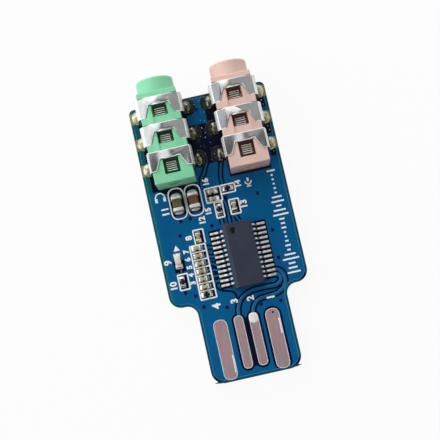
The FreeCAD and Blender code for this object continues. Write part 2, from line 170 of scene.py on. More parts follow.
@dataclass(frozen=True)
class Finish:
    """A surface of two tones in soft patches, with a fine grain in its height and gloss.

    Attributes:
        made: The materials made so far, by name.
        grain_band: Levels of the grain's noise that give the lowest and highest roughness.
        patch_band: Levels of the patches' noise that give the one tone and the other.
        name: The material's name.
        colour: The main tone, sRGB hex.
        shade: The second tone, sRGB hex.
        patch_mm: Width of a patch of one tone.
        grain_mm: Width of one grain.
        grain_um: Height of the grain in micrometres.
        gloss: Lowest and highest roughness.
        metallic: 1 for bare metal.
        specular: Strength of the mirror light on a surface that is no metal.
        stretch: How the grain is drawn out along x, y and z.
    """

    made: ClassVar[dict[str, bpy.types.Material]] = {}
    grain_band: ClassVar[Span] = (0.3, 0.7)
    patch_band: ClassVar[Span] = (0.36, 0.64)
    name: str
    colour: str
    shade: str
    patch_mm: float
    grain_mm: float
    grain_um: float
    gloss: Span
    metallic: float = 0.0
    specular: float = 0.5
    stretch: tuple[float, float, float] = (1.0, 1.0, 1.0)

    def material(self) -> bpy.types.Material:
        """Return the finish as a material, made on its first use."""
        if self.name not in self.made:
            self.made[self.name] = bpy.data.materials.new(self.name)
            self.lay(empty_tree(self.made[self.name]))
        return self.made[self.name]

    def lay(self, tree: Tree) -> None:
        """Add the finish's nodes to an empty tree."""
        place = add_node(tree, "TexCoord")["Object"]
        drawn = add_node(tree, "Mapping", {"Vector": place, "Scale": self.stretch})["Vector"]
        grain = add_node(
            tree, "TexNoise", {"Vector": drawn, "Scale": per_mm(self.grain_mm), "Detail": 2.0}
        )["Fac"]
        (least, most), (smooth, rough) = self.grain_band, self.gloss
        roughness = add_node(tree, "MapRange", {
            "Value": grain, "From Min": least, "From Max": most, "To Min": smooth, "To Max": rough,
        })["Result"]
        relief = {"Height": grain, "Strength": 1.0, "Distance": self.grain_um * MICROMETRE}
        relief |= self.swell(tree, place)
        surface = {
            "Base Color": self.tone(tree, place),
            "Roughness": roughness,
            "Metallic": self.metallic,
            "Specular IOR Level": self.specular,
            "Normal": add_node(tree, "Bump", relief)["Normal"],
        }
        shader = add_node(tree, "BsdfPrincipled", surface | self.extras())["BSDF"]
        add_node(tree, "OutputMaterial", {"Surface": shader})

    def tone(self, tree: Tree, place: Wire) -> Wire:
        """Add the nodes of the base colour.

        Args:
            tree: The material's node tree.
            place: Object coordinates.

        Returns:
            The socket that carries the colour.
        """
        return self.patches(tree, place)

    def patches(self, tree: Tree, place: Wire) -> Wire:
        """Add soft patches of the finish's two tones.

        Args:
            tree: The material's node tree.
            place: Object coordinates.

        Returns:
            The socket that carries the colour.
        """
        cloud = add_node(
            tree, "TexNoise", {"Vector": place, "Scale": per_mm(self.patch_mm), "Detail": 3.0}
        )["Fac"]
        least, most = self.patch_band
        share = add_node(tree, "MapRange", {"Value": cloud, "From Min": least, "From Max": most})
        tones = {0: share["Result"], 6: linear(self.colour), 7: linear(self.shade)}
        return add_node(tree, "Mix", tones, data_type="RGBA")[2]

    def swell(self, tree: Tree, place: Wire) -> dict[str, Wire]:
        """Return the bump input of a broad swelling under the grain; a plain finish has none."""
        return {}

    def extras(self) -> dict[str, float]:
        """Return what only some finishes set on the shader; a plain one sets nothing more."""
        return {}


@dataclass(frozen=True)
class BoardFinish(Finish):
    """Laminate under solder mask: navy over the lower copper, teal at the bare rim.

    Attributes:
        rim: Tone of the mask where no copper lies under it, sRGB hex.
        rim_left: The same on the wide part's left side.
        left_end: Where the left side's rim tone ends, in x.
        under: Tone of the underside's masked copper, sRGB hex.
        resin: Tone of the cut edge, sRGB hex.
        glass: Tone of the glass layers in the cut edge, sRGB hex.
        ply_mm: Spacing of the glass layers, drawn coarser than real ones so that they show.
        steep: A normal that rises or falls by less than this belongs to the cut edge.
        areas: Left, right, lowest y and highest y of each area over the lower copper.
    """

    rim: str = "#035264"
    rim_left: str = "#035C62"
    left_end: float = -8.0
    under: str = "#02557F"
    resin: str = "#9FA27E"
    glass: str = "#74795A"
    ply_mm: float = 0.4 * math.pi
    steep: float = 0.5
    areas: tuple[Area, ...] = (
        (-8.4, 8.98, -9.25, 17.4), (-5.68, 5.68, -20.05, -8.0)
    )

    def tone(self, tree: Tree, place: Wire) -> Wire:
        """Choose the tone by side and by distance from the rim; see Finish.tone."""
        axes = add_node(tree, "SeparateXYZ", {"Vector": place})
        normal = add_node(tree, "NewGeometry")["Normal"]
        facing = add_node(tree, "SeparateXYZ", {"Vector": normal})["Z"]
        wide, narrow = (self.inside(tree, axes, area) for area in self.areas)
        copper = add_node(tree, "Math", {0: wide, 1: narrow}, operation="MAXIMUM")[0]
        end = self.left_end * MM
        leftward = add_node(tree, "Math", {0: axes["X"], 1: end}, operation="LESS_THAN")[0]
        below = add_node(tree, "Math", {0: facing, 1: -self.steep}, operation="LESS_THAN")[0]
        upright = add_node(
            tree, "Math", {0: facing, 1: 0.0, 2: self.steep}, operation="COMPARE"
        )[0]
        layers = math.tau / WAVE_RADIANS * per_mm(self.ply_mm)
        plies = add_node(tree, "TexWave", {
            "Vector": place, "Scale": layers, "Distortion": 1.5, "Detail": 2.0, "Detail Scale": 4.0,
        }, bands_direction="Z")["Fac"]
        cut = add_node(
            tree, "Mix", {0: plies, 6: linear(self.resin), 7: linear(self.glass)}, data_type="RGBA"
        )[2]
        tone = linear(self.rim)
        for share, other in (
            (leftward, linear(self.rim_left)),
            (copper, self.patches(tree, place)),
            (below, linear(self.under)),
            (upright, cut),
        ):
            tone = add_node(tree, "Mix", {0: share, 6: tone, 7: other}, data_type="RGBA")[2]
        return tone

    @staticmethod
    def inside(tree: Tree, axes: bpy.types.NodeOutputs, area: Area) -> Wire:
        """Tell whether a place lies in one coppered area.

        Args:
            tree: The material's node tree.
            axes: Sockets with x, y and z.
            area: Left, right, lowest y and highest y in millimetres.

        Returns:
            A socket that is 1 inside and 0 outside.
        """
        left, right, low, high = (size * MM for size in area)
        across, along = (
            add_node(tree, "Math", {
                0: axes[axis], 1: (start + end) / 2, 2: (end - start) / 2,
            }, operation="COMPARE")[0]
            for axis, start, end in (("X", left, right), ("Y", low, high))
        )
        return add_node(tree, "Math", {0: across, 1: along}, operation="MULTIPLY")[0]


@dataclass(frozen=True)
class ClipFinish(Finish):
    """Sheet whose bands were folded by hand: each is a little waved from side to side.

    Attributes:
        wave_mm: Length of a wave; three of them reach from socket to socket.
        crest_mm: Where a wave climbs most steeply, in x.
        tilt: The steepest slope in degrees.
    """

    wave_mm: float = 3.3
    crest_mm: float = 1.15
    tilt: float = 7.5

    def swell(self, tree: Tree, place: Wire) -> dict[str, Wire]:
        """Add the wave under the grain; see Finish.swell."""
        across = add_node(tree, "SeparateXYZ", {"Vector": place})["X"]
        turn = math.tau / (self.wave_mm * MM)
        angle = add_node(tree, "Math", {
            0: across, 1: turn, 2: -turn * self.crest_mm * MM,
        }, operation="MULTIPLY_ADD")[0]
        wave = add_node(tree, "Math", {0: angle}, operation="SINE")[0]
        height = math.tan(math.radians(self.tilt)) / turn
        relief = {"Height": wave, "Strength": 1.0, "Distance": height}
        return {"Normal": add_node(tree, "Bump", relief)["Normal"]}


@dataclass(frozen=True)
class PourFinish(Finish):
    """Mask over copper that turns teal toward the board's left edge.

    Attributes:
        edge: Tone at the edge, sRGB hex.
        fade: Where the edge tone is full and where it has gone, in x.
    """

    edge: str = "#047470"
    fade: Span = (-9.2, -8.4)

    def tone(self, tree: Tree, place: Wire) -> Wire:
        """Blend the edge tone into the patches; see Finish.tone."""
        across = add_node(tree, "SeparateXYZ", {"Vector": place})["X"]
        start, end = (place_x * MM for place_x in self.fade)
        share = add_node(tree, "MapRange", {"Value": across, "From Min": start, "From Max": end})
        tones = {0: share["Result"], 6: linear(self.edge), 7: self.patches(tree, place)}
        return add_node(tree, "Mix", tones, data_type="RGBA")[2]


@dataclass(frozen=True)
class ResinFinish(Finish):
    """A cast clear resin that lets some light through.

    Attributes:
        clear: Share of light that passes through.
        ior: How strongly it bends light.
    """

    clear: float = 0.15
    ior: float = 1.5

    def extras(self) -> dict[str, float]:
        """Let light into the resin; see Finish.extras."""
        return {"Transmission Weight": self.clear, "IOR": self.ior}


# Epoxy-glass laminate under blue mask. The mask looks navy in the gaps of the upper copper
# and teal at the rim, where light comes through the board; the sawn edge shows its layers.
LAMINATE = BoardFinish(
    "masked_laminate", "#030822", "#060D32", 2.5, 0.4, 1.2, (0.08, 0.16), specular=0.3
)
# Torn laminate where the board was snapped off: brown-green splinters of resin and glass.
RAW_LAMINATE = Finish(
    "torn_laminate", "#33433E", "#565A4A", 0.3, 0.1, 3.0, (0.5, 0.65), specular=0.2
)
# Mask over copper: an even, glossy blue that dips and swells a little with the ink.
MASKED_COPPER = PourFinish(
    "masked_copper", "#006196", "#005A90", 4.0, 0.7, 1.6, (0.08, 0.16), specular=0.3
)
# Mask on the narrow tracks is thinner at their shoulders, so they look paler.
MASKED_TRACK = Finish(
    "masked_track", "#06679A", "#066296", 1.5, 0.5, 1.6, (0.08, 0.16), specular=0.3
)
# Mask is thinnest over the edge of the copper, where it shows as a pale line; the line is also made
# paler as a painted highlight.
MASKED_RIDGE = Finish(
    "masked_ridge", "#2C79A2", "#1F6C98", 2.0, 0.5, 1.6, (0.08, 0.16), specular=0.4
)
# Mask sunk into the through holes: almost black, with a wet glint at the lip.
SUNK_MASK = Finish("sunk_mask", "#080F48", "#0A1452", 0.5, 0.4, 1.0, (0.05, 0.1), specular=0.6)
# Hot-dipped tin on copper strips: a rosy grey that plugging has scratched lengthways.
TINNED_COPPER = Finish(
    "hot_dipped_tin", "#DFB2BC", "#D0BABB", 3.4, 0.14, 0.3, (0.3, 0.4), 0.75,
    stretch=(1.0, 0.06, 1.0),
)
# Transfer-moulded epoxy: matt charcoal with the fine pitting of an eroded mould.
CHIP_EPOXY = Finish(
    "moulded_epoxy", "#363B4C", "#323647", 2.0, 0.09, 3.0, (0.42, 0.55), specular=0.22
)
# The round mark is polished into the mould, so it mirrors the dark room; its near-black colour is a
# painted reflection of that room.
MARK_EPOXY = Finish("polished_epoxy_painted_reflection", "#08090C", "#0C0D11", 0.5, 0.2, 1.0, (0.1, 0.2))
# Tin plating of leads and part ends: bright and frosted. The same white on the clips' rims, folds
# and rounded edges and on the contacts' edge beads is a painted highlight.
TINNED_LEAD = Finish("frosted_tin_and_painted_highlight", "#FFFFFF", "#F3F4F4", 0.5, 0.18, 9.0, (0.3, 0.45), 0.25)
# The lead's bend is polished by the forming tool and mirrors the board beside it; its darker tone
# than the rest of the lead is painted shade.
SHADED_BEND_TIN = Finish("formed_tin_painted_shade", "#9C9FA6", "#8A8D95", 0.5, 0.1, 0.5, (0.12, 0.2), 1.0)
# Tin that ran together in a drop: white and even. The same white on the contacts' streaks and on
# the small parts' solder toes is a painted highlight.
FRESH_TIN_AND_HIGHLIGHT = Finish("fresh_tin_and_painted_highlight", "#FFFFFF", "#F2F1EE", 0.5, 0.2, 1.0, (0.3, 0.4), 0.15)
# Reflowed solder: bright, with soft frost where it set last.
SOLDER = Finish("reflowed_solder", "#EFEEE6", "#CFCDBF", 0.6, 0.15, 3.0, (0.3, 0.48), 0.5)
# Reflowed fillets at the small parts are wet-smooth: half bright, half dark mirrors.
WET_SOLDER = Finish("wet_solder", "#DCDCD4", "#BEBEB4", 0.5, 0.15, 3.0, (0.12, 0.24), 1.0)
# The lamp was soldered by hand: amber and brown flux has set on its bright joints.
AMBER_SOLDER = Finish(
    "amber_fluxed_solder", "#FFFBF0", "#A4602E", 0.36, 0.15, 3.0, (0.15, 0.3), 0.2
)
# Hand-soldered joint: cream, with olive stains where the flux boiled off.
FLUXED_SOLDER = Finish("fluxed_solder", "#DAD6C2", "#A39B74", 0.5, 0.2, 5.0, (0.34, 0.5), 0.7)
# The joints between the sockets: dark patches of painted shade, with glints of bare metal.
SHADED_SOLDER = Finish("solder_painted_shade", "#A39F8C", "#1E1E1A", 0.36, 0.2, 9.0, (0.12, 0.3), 0.9)
# Flux that has set round a joint: a glossy olive-tan skin.
FLUX_SKIN = Finish("flux_skin", "#A29A6C", "#7F7A4C", 0.5, 0.25, 4.0, (0.15, 0.3))
# Flux under the joints between the sockets, darkened as painted shade.
SHADED_FLUX = Finish("flux_painted_shade", "#3C3C2C", "#20211C", 0.5, 0.25, 4.0, (0.15, 0.3))
# A black puddle round the same joints, with a blue cast: painted shade.
SHADE_PUDDLE = Finish("puddle_painted_shade", "#0B1120", "#10141C", 0.6, 0.25, 4.0, (0.15, 0.3), specular=0.3)
# Moulded nylon: satin mint, with a faint flow cloud and a fine spark-eroded skin.
MINT_PLASTIC = Finish("mint_nylon", "#8FE3B5", "#86DBAC", 3.0, 0.12, 2.0, (0.34, 0.46))
# The same nylon in pale pink.
PINK_PLASTIC = Finish("pink_nylon", "#ECCABD", "#E5C1B4", 3.0, 0.12, 2.0, (0.34, 0.46))
# Rolling drew the strip's grain out across the board.
ROLLED = (0.12, 1.0, 1.0)
# Nickel-plated strip: a cool grey mirror, softened by the rolling.
NICKEL_SHEET = ClipFinish(
    "nickel_strip", "#BCBEBD", "#B1B4B3", 1.5, 0.1, 0.02, (0.23, 0.25), 1.0,
    stretch=ROLLED,
)
# The pink socket's left shoulders: the same strip painted darker, a painted shade.
SHADED_NICKEL = ClipFinish(
    "nickel_painted_shade", "#8B8E91", "#7D8083", 1.5, 0.1, 0.02, (0.23, 0.25), 1.0,
    stretch=ROLLED,
)
# Ribs of the springs: a pale nickel whose brightness is a painted highlight.
HIGHLIGHT_NICKEL = Finish("rib_nickel_painted_highlight", "#ECECE4", "#D2D2CA", 0.5, 0.1, 0.5, (0.4, 0.5), 0.4)
# Deep in the windows the springs are painted dark in the colour of the plastic round them: painted
# shade and a painted reflection of the plastic.
MINT_WINDOW_SHADE = Finish(
    "mint_window_painted_shade", "#0F3A22", "#0A2918", 0.6, 0.1, 1.0, (0.3, 0.45), specular=0.3
)
PINK_WINDOW_SHADE = Finish(
    "pink_window_painted_shade", "#4A1F17", "#37130F", 0.6, 0.1, 1.0, (0.3, 0.45), specular=0.3
)
# Fired ceramic of the coupling capacitors: one olive brown, the other redder.
OLIVE_CERAMIC = Finish(
    "olive_ceramic", "#6E6A3E", "#625D36", 0.8, 0.08, 2.0, (0.4, 0.5), specular=0.25
)
RED_CERAMIC = Finish(
    "red_brown_ceramic", "#805542", "#734B39", 0.8, 0.08, 2.0, (0.4, 0.5), specular=0.25
)
# Small ceramic blocks: sandy, each fired to a slightly different tone.
TAN_CERAMIC = Finish("sandy_ceramic", "#B9B08A", "#A2966C", 1.6, 0.06, 1.5, (0.35, 0.5))
# Thick-film resistor: black glass glaze.
RESISTOR_GLAZE = Finish("black_glaze", "#121317", "#1B1D23", 0.5, 0.07, 1.0, (0.12, 0.25))
# White ceramic-filled base of the lamp.
LAMP_SUBSTRATE = Finish("white_lamp_base", "#F4F4EA", "#E6E4D2", 0.5, 0.06, 1.0, (0.4, 0.55))
# Milky casting resin over the lamp's chip.
LAMP_RESIN = ResinFinish("milky_resin", "#FBFBF2", "#F4F1DC", 0.6, 0.2, 1.0, (0.12, 0.2))
# Screen-printed ink: flat white with slightly ragged cover.
PRINT_INK = Finish("white_ink", "#FFFFFF", "#FAFAF7", 0.4, 0.07, 2.0, (0.5, 0.65), specular=0.2)


@dataclass(frozen=True)
class Spot:
    """Where a copy of a repeated shape goes.

    Attributes:
        x: Its place across the board.
        y: Its place along the board.
        z: How far it is raised.
        size: How many times as large as the shape it is.
        turn: Its turn about z in radians.
    """

    x: float
    y: float
    z: float = 0.0
    size: float = 1.0
    turn: float = 0.0


class Bench:
    """The operator steps that pieces are modelled with."""

    @staticmethod
    def clear() -> None:
        """Leave edit mode and select nothing."""
        if bpy.context.mode != "OBJECT":
            bpy.ops.object.mode_set(mode="OBJECT")
        bpy.ops.object.select_all(action="DESELECT")

    @staticmethod
    def label(piece: Piece, name: str) -> Piece:
        """Name a piece and its mesh and return it."""
        piece.name = piece.data.name = name
        return piece

    @staticmethod
    def corners(node: str) -> tuple[Vector, Vector]:
        """Return a CAD node's lowest and highest corners in millimetres."""
        low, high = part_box(node)
        return low / MM, high / MM

    @staticmethod
    def coat(piece: Piece, finish: Finish) -> None:
        """Dress a whole piece in one finish."""
        piece.data.materials.clear()
        piece.data.materials.append(finish.material())

    @staticmethod
    def take(*pieces: Piece) -> None:
        """Select these pieces alone and make the first one active."""
        Bench.clear()
        for piece in pieces:
            piece.select_set(True)
        bpy.context.view_layer.objects.active = pieces[0]

    @staticmethod
    def edit(piece: Piece) -> None:
        """Take a piece into edit mode with everything selected."""
        Bench.take(piece)
        bpy.ops.object.mode_set(mode="EDIT")
        bpy.ops.mesh.select_all(action="SELECT")

    @staticmethod
    def pick(piece: Piece, test: FaceTest, among: bool = False) -> None:
        """Select the faces of a piece in edit mode that pass a test.

        Args:
            piece: The piece in edit mode.
            test: Says yes or no to a face's centre and normal.
            among: Whether only the faces selected so far are asked.
        """
        bpy.ops.mesh.select_mode(type="FACE")
        mesh = bmesh.from_edit_mesh(piece.data)
        asked = [face for face in mesh.faces if face.select or not among]
        chosen = [face for face in asked if test(face.calc_center_median(), face.normal)]
        for face in mesh.faces:
            face.select_set(False)
        for face in chosen:
            face.select_set(True)
        bmesh.update_edit_mesh(piece.data)

    @staticmethod
    def pick_points(piece: Piece, test: Callable[[Vector], bool]) -> None:
        """Select the vertices of a piece in edit mode that pass a test.

        Args:
            piece: The piece in edit mode.
            test: Says yes or no to a vertex's place.
        """
        bpy.ops.mesh.select_mode(type="VERT")
        bpy.ops.mesh.select_all(action="DESELECT")
        mesh = bmesh.from_edit_mesh(piece.data)
        for vertex in mesh.verts:
            vertex.select_set(test(vertex.co))
        mesh.select_flush(True)
        bmesh.update_edit_mesh(piece.data)

    @staticmethod
    def settle() -> Piece:
        """Apply the active piece's place, turn and size to its mesh and return it."""
        bpy.ops.object.transform_apply(location=True, rotation=True, scale=True)
        return bpy.context.active_object

    @staticmethod
    def apply(piece: Piece, kind: str, **settings: object) -> None:
        """Put a modifier on a piece and apply it.

        Args:
            piece: The piece that is changed.
            kind: The modifier's type name.
            **settings: The modifier's properties.
        """
        Bench.take(piece)
        bpy.ops.object.modifier_add(type=kind)
        modifier = piece.modifiers[-1]
        for key, value in settings.items():
            setattr(modifier, key, value)
        bpy.ops.object.modifier_apply(modifier=modifier.name)

    @staticmethod
    def smooth(piece: Piece, degrees: float) -> None:
        """Shade a piece smooth across edges that turn by less than this."""
        Bench.take(piece)
        bpy.ops.object.shade_smooth_by_angle(angle=math.radians(degrees))

    @staticmethod
    def copy(node: str, name: str) -> Piece:
        """Copy a CAD node, merged into closed shells with whole flat faces.

        Args:
            node: The node's name.
            name: The copy's name.

        Returns:
            The copy, free of its body.
        """
        Bench.take(frame["nodes"][node])
        bpy.ops.object.duplicate()
        piece = Bench.label(bpy.context.active_object, name)
        bpy.ops.object.parent_clear(type="CLEAR_KEEP_TRANSFORM")
        for key in list(piece.keys()):
            del piece[key]
        bpy.ops.mesh.customdata_custom_splitnormals_clear()
        Bench.edit(piece)
        bpy.ops.mesh.remove_doubles(threshold=CLOSE)
        bpy.ops.mesh.dissolve_limited(angle_limit=FLAT)
        Bench.clear()
        return piece

    @staticmethod
    def ease(piece: Piece, width: float, segments: int = 2) -> None:
        """Round a piece's sharp edges, keeping its flats flat in the light.

        Args:
            piece: The piece that is changed.
            width: Width of the rounding.
            segments: Facets across it.
        """
        Bench.apply(
            piece, "BEVEL", width=width * MM, segments=segments, limit_method="ANGLE",
            angle_limit=SHARP, use_clamp_overlap=True,
        )
        Bench.smooth(piece, EASED_WORK)
        Bench.apply(piece, "WEIGHTED_NORMAL", keep_sharp=True)

    @staticmethod
    def round_corners(piece: Piece, radius: float) -> None:
        """Round a block's upright edges.

        Args:
            piece: The block.
            radius: Radius of the rounding.
        """
        Bench.edit(piece)
        bpy.ops.mesh.select_mode(type="EDGE")
        bpy.ops.mesh.select_all(action="DESELECT")
        mesh = bmesh.from_edit_mesh(piece.data)
        for edge in mesh.edges:
            run = edge.verts[1].co - edge.verts[0].co
            edge.select_set(abs(run.z) > UPWARD * run.length)
        bmesh.update_edit_mesh(piece.data)
        bpy.ops.mesh.bevel(offset=radius * MM, segments=4, affect="EDGES")
        Bench.clear()

    @staticmethod
    def slab(low: Sequence[float], high: Sequence[float]) -> Piece:
        """Add a block between two corners.

        Args:
            low: Its lowest corner.
            high: Its highest corner.

        Returns:
            The block.
        """
        Bench.clear()
        centre = [(a + b) / 2 * MM for a, b in zip(low, high)]
        bpy.ops.mesh.primitive_cube_add(size=1.0, location=centre)
        block = bpy.context.active_object
        block.scale = [(b - a) * MM for a, b in zip(low, high)]
        return Bench.settle()

    @staticmethod
    def disc(at: Point, radius: float, rise: Span, sides: int, turn: float = 0.0) -> Piece:
        """Add an upright disc.

        Args:
            at: Its middle.
            radius: Its radius.
            rise: Height of its underside and of its upper side.
            sides: Flats round it.
            turn: Turn of the flats in radians.

        Returns:
            The disc.
        """
        Bench.clear()
        bpy.ops.mesh.primitive_cylinder_add(
            vertices=sides, radius=radius * MM, depth=(rise[1] - rise[0]) * MM,
            location=(at[0] * MM, at[1] * MM, (rise[0] + rise[1]) / 2 * MM),
            rotation=(0, 0, turn),
        )
        return Bench.settle()

    @staticmethod
    def stadium(
        x: float, low: float, high: float, width: float, floor: float, top: float
    ) -> Piece:
        """Add a block with round ends that lies along y.

        Args:
            x: Its centre line.
            low: Its lowest y.
            high: Its highest y.
            width: Its width.
            floor: Its underside.
            top: Its upper side.

        Returns:
            The block.
        """
        sides = 48
        start = low + width / 2
        block = Bench.disc((x, start), width / 2, (floor, top), sides, math.pi / sides)
        Bench.edit(block)
        Bench.pick_points(block, lambda at: at.y > start * MM)
        bpy.ops.transform.translate(value=(0, (high - low - width) * MM, 0))
        Bench.clear()
        return block

    @staticmethod
    def join(name: str, pieces: Sequence[Piece]) -> Piece:
        """Join pieces into one.

        Args:
            name: The joined piece's name.
            pieces: The pieces.

        Returns:
            The joined piece.
        """
        Bench.take(*pieces)
        if len(pieces) > 1:
            bpy.ops.object.join()
        return Bench.label(bpy.context.active_object, name)

    @staticmethod
    def cut(piece: Piece, cutter: Piece) -> None:
        """Take a shape out of a piece.

        Args:
            piece: The piece that is cut.
            cutter: The shape, which is deleted.
        """
        Bench.apply(
            piece, "BOOLEAN", operation="DIFFERENCE", solver="MANIFOLD", object=cutter
        )
        Bench.take(cutter)
        bpy.ops.object.delete()

    @staticmethod
    def spread(pattern: Piece, spots: Sequence[Spot]) -> list[Piece]:
        """Set a copy of a shape at each of its places.

        Args:
            pattern: The shape, modelled about the origin; it is deleted.
            spots: The places.

        Returns:
            The copies.
        """
        copies = []
        for spot in spots:
            Bench.take(pattern)
            bpy.ops.object.duplicate()
            copy = bpy.context.active_object
            copy.location = (spot.x * MM, spot.y * MM, spot.z * MM)
            copy.scale = (spot.size, spot.size, spot.size)
            copy.rotation_euler.z = spot.turn
            copies.append(Bench.settle())
        Bench.take(pattern)
        bpy.ops.object.delete()
        return copies

    @staticmethod
    def dress(piece: Piece, finish: Finish, *others: tuple[Finish, FaceTest]) -> None:
        """Dress a piece in one finish, and in others the faces that pass a test.

        Args:
            piece: The piece.
            finish: The finish of most faces.
            *others: Another finish, and a test that says yes or no to a face's centre
                and normal.
        """
        Bench.coat(piece, finish)
        for other, _ in others:
            piece.data.materials.append(other.material())
        Bench.edit(piece)
        for index, (_, test) in enumerate(others, 1):
            Bench.pick(piece, test)
            piece.active_material_index = index
            bpy.ops.object.material_slot_assign()
        Bench.clear()

    @staticmethod
    def hand_over(
        piece: Piece, finish: Finish | None, slot: Slot | None, *nodes: str
    ) -> Piece:
        """Dress a piece, set it on the body and log it.

        Args:
            piece: The finished mesh.
            finish: Its finish, or None where its faces are dressed already.
            slot: The record's slot, or None where the record has none; it is not used.
            *nodes: The CAD nodes that it stands for.

        Returns:
            The same piece.
        """
        if finish is not None:
            Bench.coat(piece, finish)
        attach(piece, BODY)
        if nodes:
            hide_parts(*nodes)
        LOG.info("%s: %d faces", piece.name, len(piece.data.polygons))
        return piece


@dataclass(frozen=True)
class Stroke:
    """A flat line of one width.

    Attributes:
        share: The most of a run that one rounding may take.
        points: The corners that it runs through.
        width: Its width.
        closed: Whether it runs back to its start.
        bend: Reach of the rounding at its corners.
        steps: Straight runs in one rounding.
    """

    share: ClassVar[float] = 0.49
    points: Sequence[Point]
    width: float
    closed: bool = False
    bend: float = 0.12
    steps: int = 5

    def route(self) -> list[Point]:
        """Return the stroke's points with its corners rounded."""
        given = [Vector(p) for p in self.points]
        count = len(given)
        made: list[Point] = []
        for i, corner in enumerate(given):
            if not self.closed and i in (0, count - 1):
                made.append((corner.x, corner.y))
                continue
            before, after = given[i - 1] - corner, given[(i + 1) % count] - corner
            reach = min(self.bend, before.length * self.share, after.length * self.share)
            start = corner + before.normalized() * reach
            end = corner + after.normalized() * reach
            for k in range(self.steps + 1):
                t = k / self.steps
                at = start * (1 - t) ** 2 + corner * 2 * t * (1 - t) + end * t * t
                made.append((at.x, at.y))
        return made


def tubes(name: str, strokes: Sequence[Stroke], level: float, crown: float) -> Piece:
    """Model strokes of one width as tubes that are pressed to an oval.

    Args:
        name: The piece's name.
        strokes: The lines, all of one width.
        level: Height of the tubes' middle.
        crown: Half the tubes' height.

    Returns:
        The closed tubes as one mesh.
    """
    width = strokes[0].width
    Bench.clear()
    bpy.ops.curve.primitive_bezier_curve_add(location=(0, 0, level * MM))
    line = bpy.context.active_object
    curve = line.data
    curve.splines.clear()
    curve.dimensions = "3D"
    curve.bevel_depth = width / 2 * MM
    curve.bevel_resolution = 2
    curve.use_fill_caps = True
    for stroke in strokes:
        route = stroke.route()
        spline = curve.splines.new("POLY")
        spline.points.add(len(route) - 1)
        spline.use_cyclic_u = stroke.closed
        for point, (x, y) in zip(spline.points, route):
            point.co = (x * MM, y * MM, 0, 1)
    line.scale.z = 2 * crown / width
    bpy.ops.object.convert(target="MESH")
    line = Bench.label(Bench.settle(), name)
    Bench.edit(line)
    bpy.ops.mesh.remove_doubles(threshold=CLOSE)
    Bench.clear()
    return line


def ribbons(name: str, strokes: Sequence[Stroke], level: float, height: float) -> Piece:
    """Model flat strokes with rounded shoulders that lie on a level.

    Args:
        name: The piece's name.
        strokes: The lines.
        level: Height of what they lie on.
        height: Their thickness.

    Returns:
        The piece, flat above and below.
    """
    crown = 1.5 * height
    widths = sorted({stroke.width for stroke in strokes})
    made = [
        tubes(name, [s for s in strokes if s.width == width], level, crown)
        for width in widths
    ]
    line = Bench.join(name, made)
    Bench.edit(line)
    for plane, test in (
        (level, lambda at: at.z < level * MM),
        (level + height, lambda at: at.z > (level + height) * MM),
    ):
        Bench.pick_points(line, test)
        bpy.ops.transform.resize(value=(1, 1, 0), center_override=(0, 0, plane * MM))
    bpy.ops.mesh.select_all(action="SELECT")
    bpy.ops.mesh.normals_make_consistent(inside=False)
    Bench.clear()
    Bench.smooth(line, FLAT_WORK)
    return line


def dome(across: Span, along: Span, floor: float, height: float) -> Piece:
    """Model a pool of solder with a round back on a flat base.

    Args:
        across: Its lowest and highest x.
        along: Its lowest and highest y.
        floor: Height of its base.
        height: How high it stands.

    Returns:
        The pool.
    """
    (left, right), (near, far) = across, along
    pool = Bench.slab((left, near, floor - height), (right, far, floor + height))
    Bench.apply(pool, "SUBSURF", levels=3, render_levels=3)
    low, top = pool.bound_box[0], pool.bound_box[6]
    sizes = (right - left, far - near, 2 * height)
    grow = [size * MM / (top[i] - low[i]) for i, size in enumerate(sizes)]
    Bench.edit(pool)
    middle = ((left + right) / 2 * MM, (near + far) / 2 * MM, floor * MM)
    bpy.ops.transform.resize(value=grow, center_override=middle)
    bpy.ops.mesh.bisect(
        plane_co=(0, 0, floor * MM), plane_no=(0, 0, 1), use_fill=True, clear_inner=True,
        threshold=CLOSE,
    )
    Bench.clear()
    Bench.smooth(pool, EASED_WORK)
    return pool


def rectangle(left: float, right: float, low: float, high: float) -> list[Point]:
    """Return the corners of an upright rectangle."""
    return [(left, low), (right, low), (right, high), (left, high)]


def arc(middle: Point, radius: float, turn: range) -> list[Point]:
    """Return points along an arc.

    Args:
        middle: Its centre.
        radius: Its radius.
        turn: The points' angles in degrees, clockwise from the y axis.

    Returns:
        The points.
    """
    angles = [math.radians(angle) for angle in turn]
    return [
        (middle[0] + radius * math.sin(a), middle[1] + radius * math.cos(a)) for a in angles
    ]


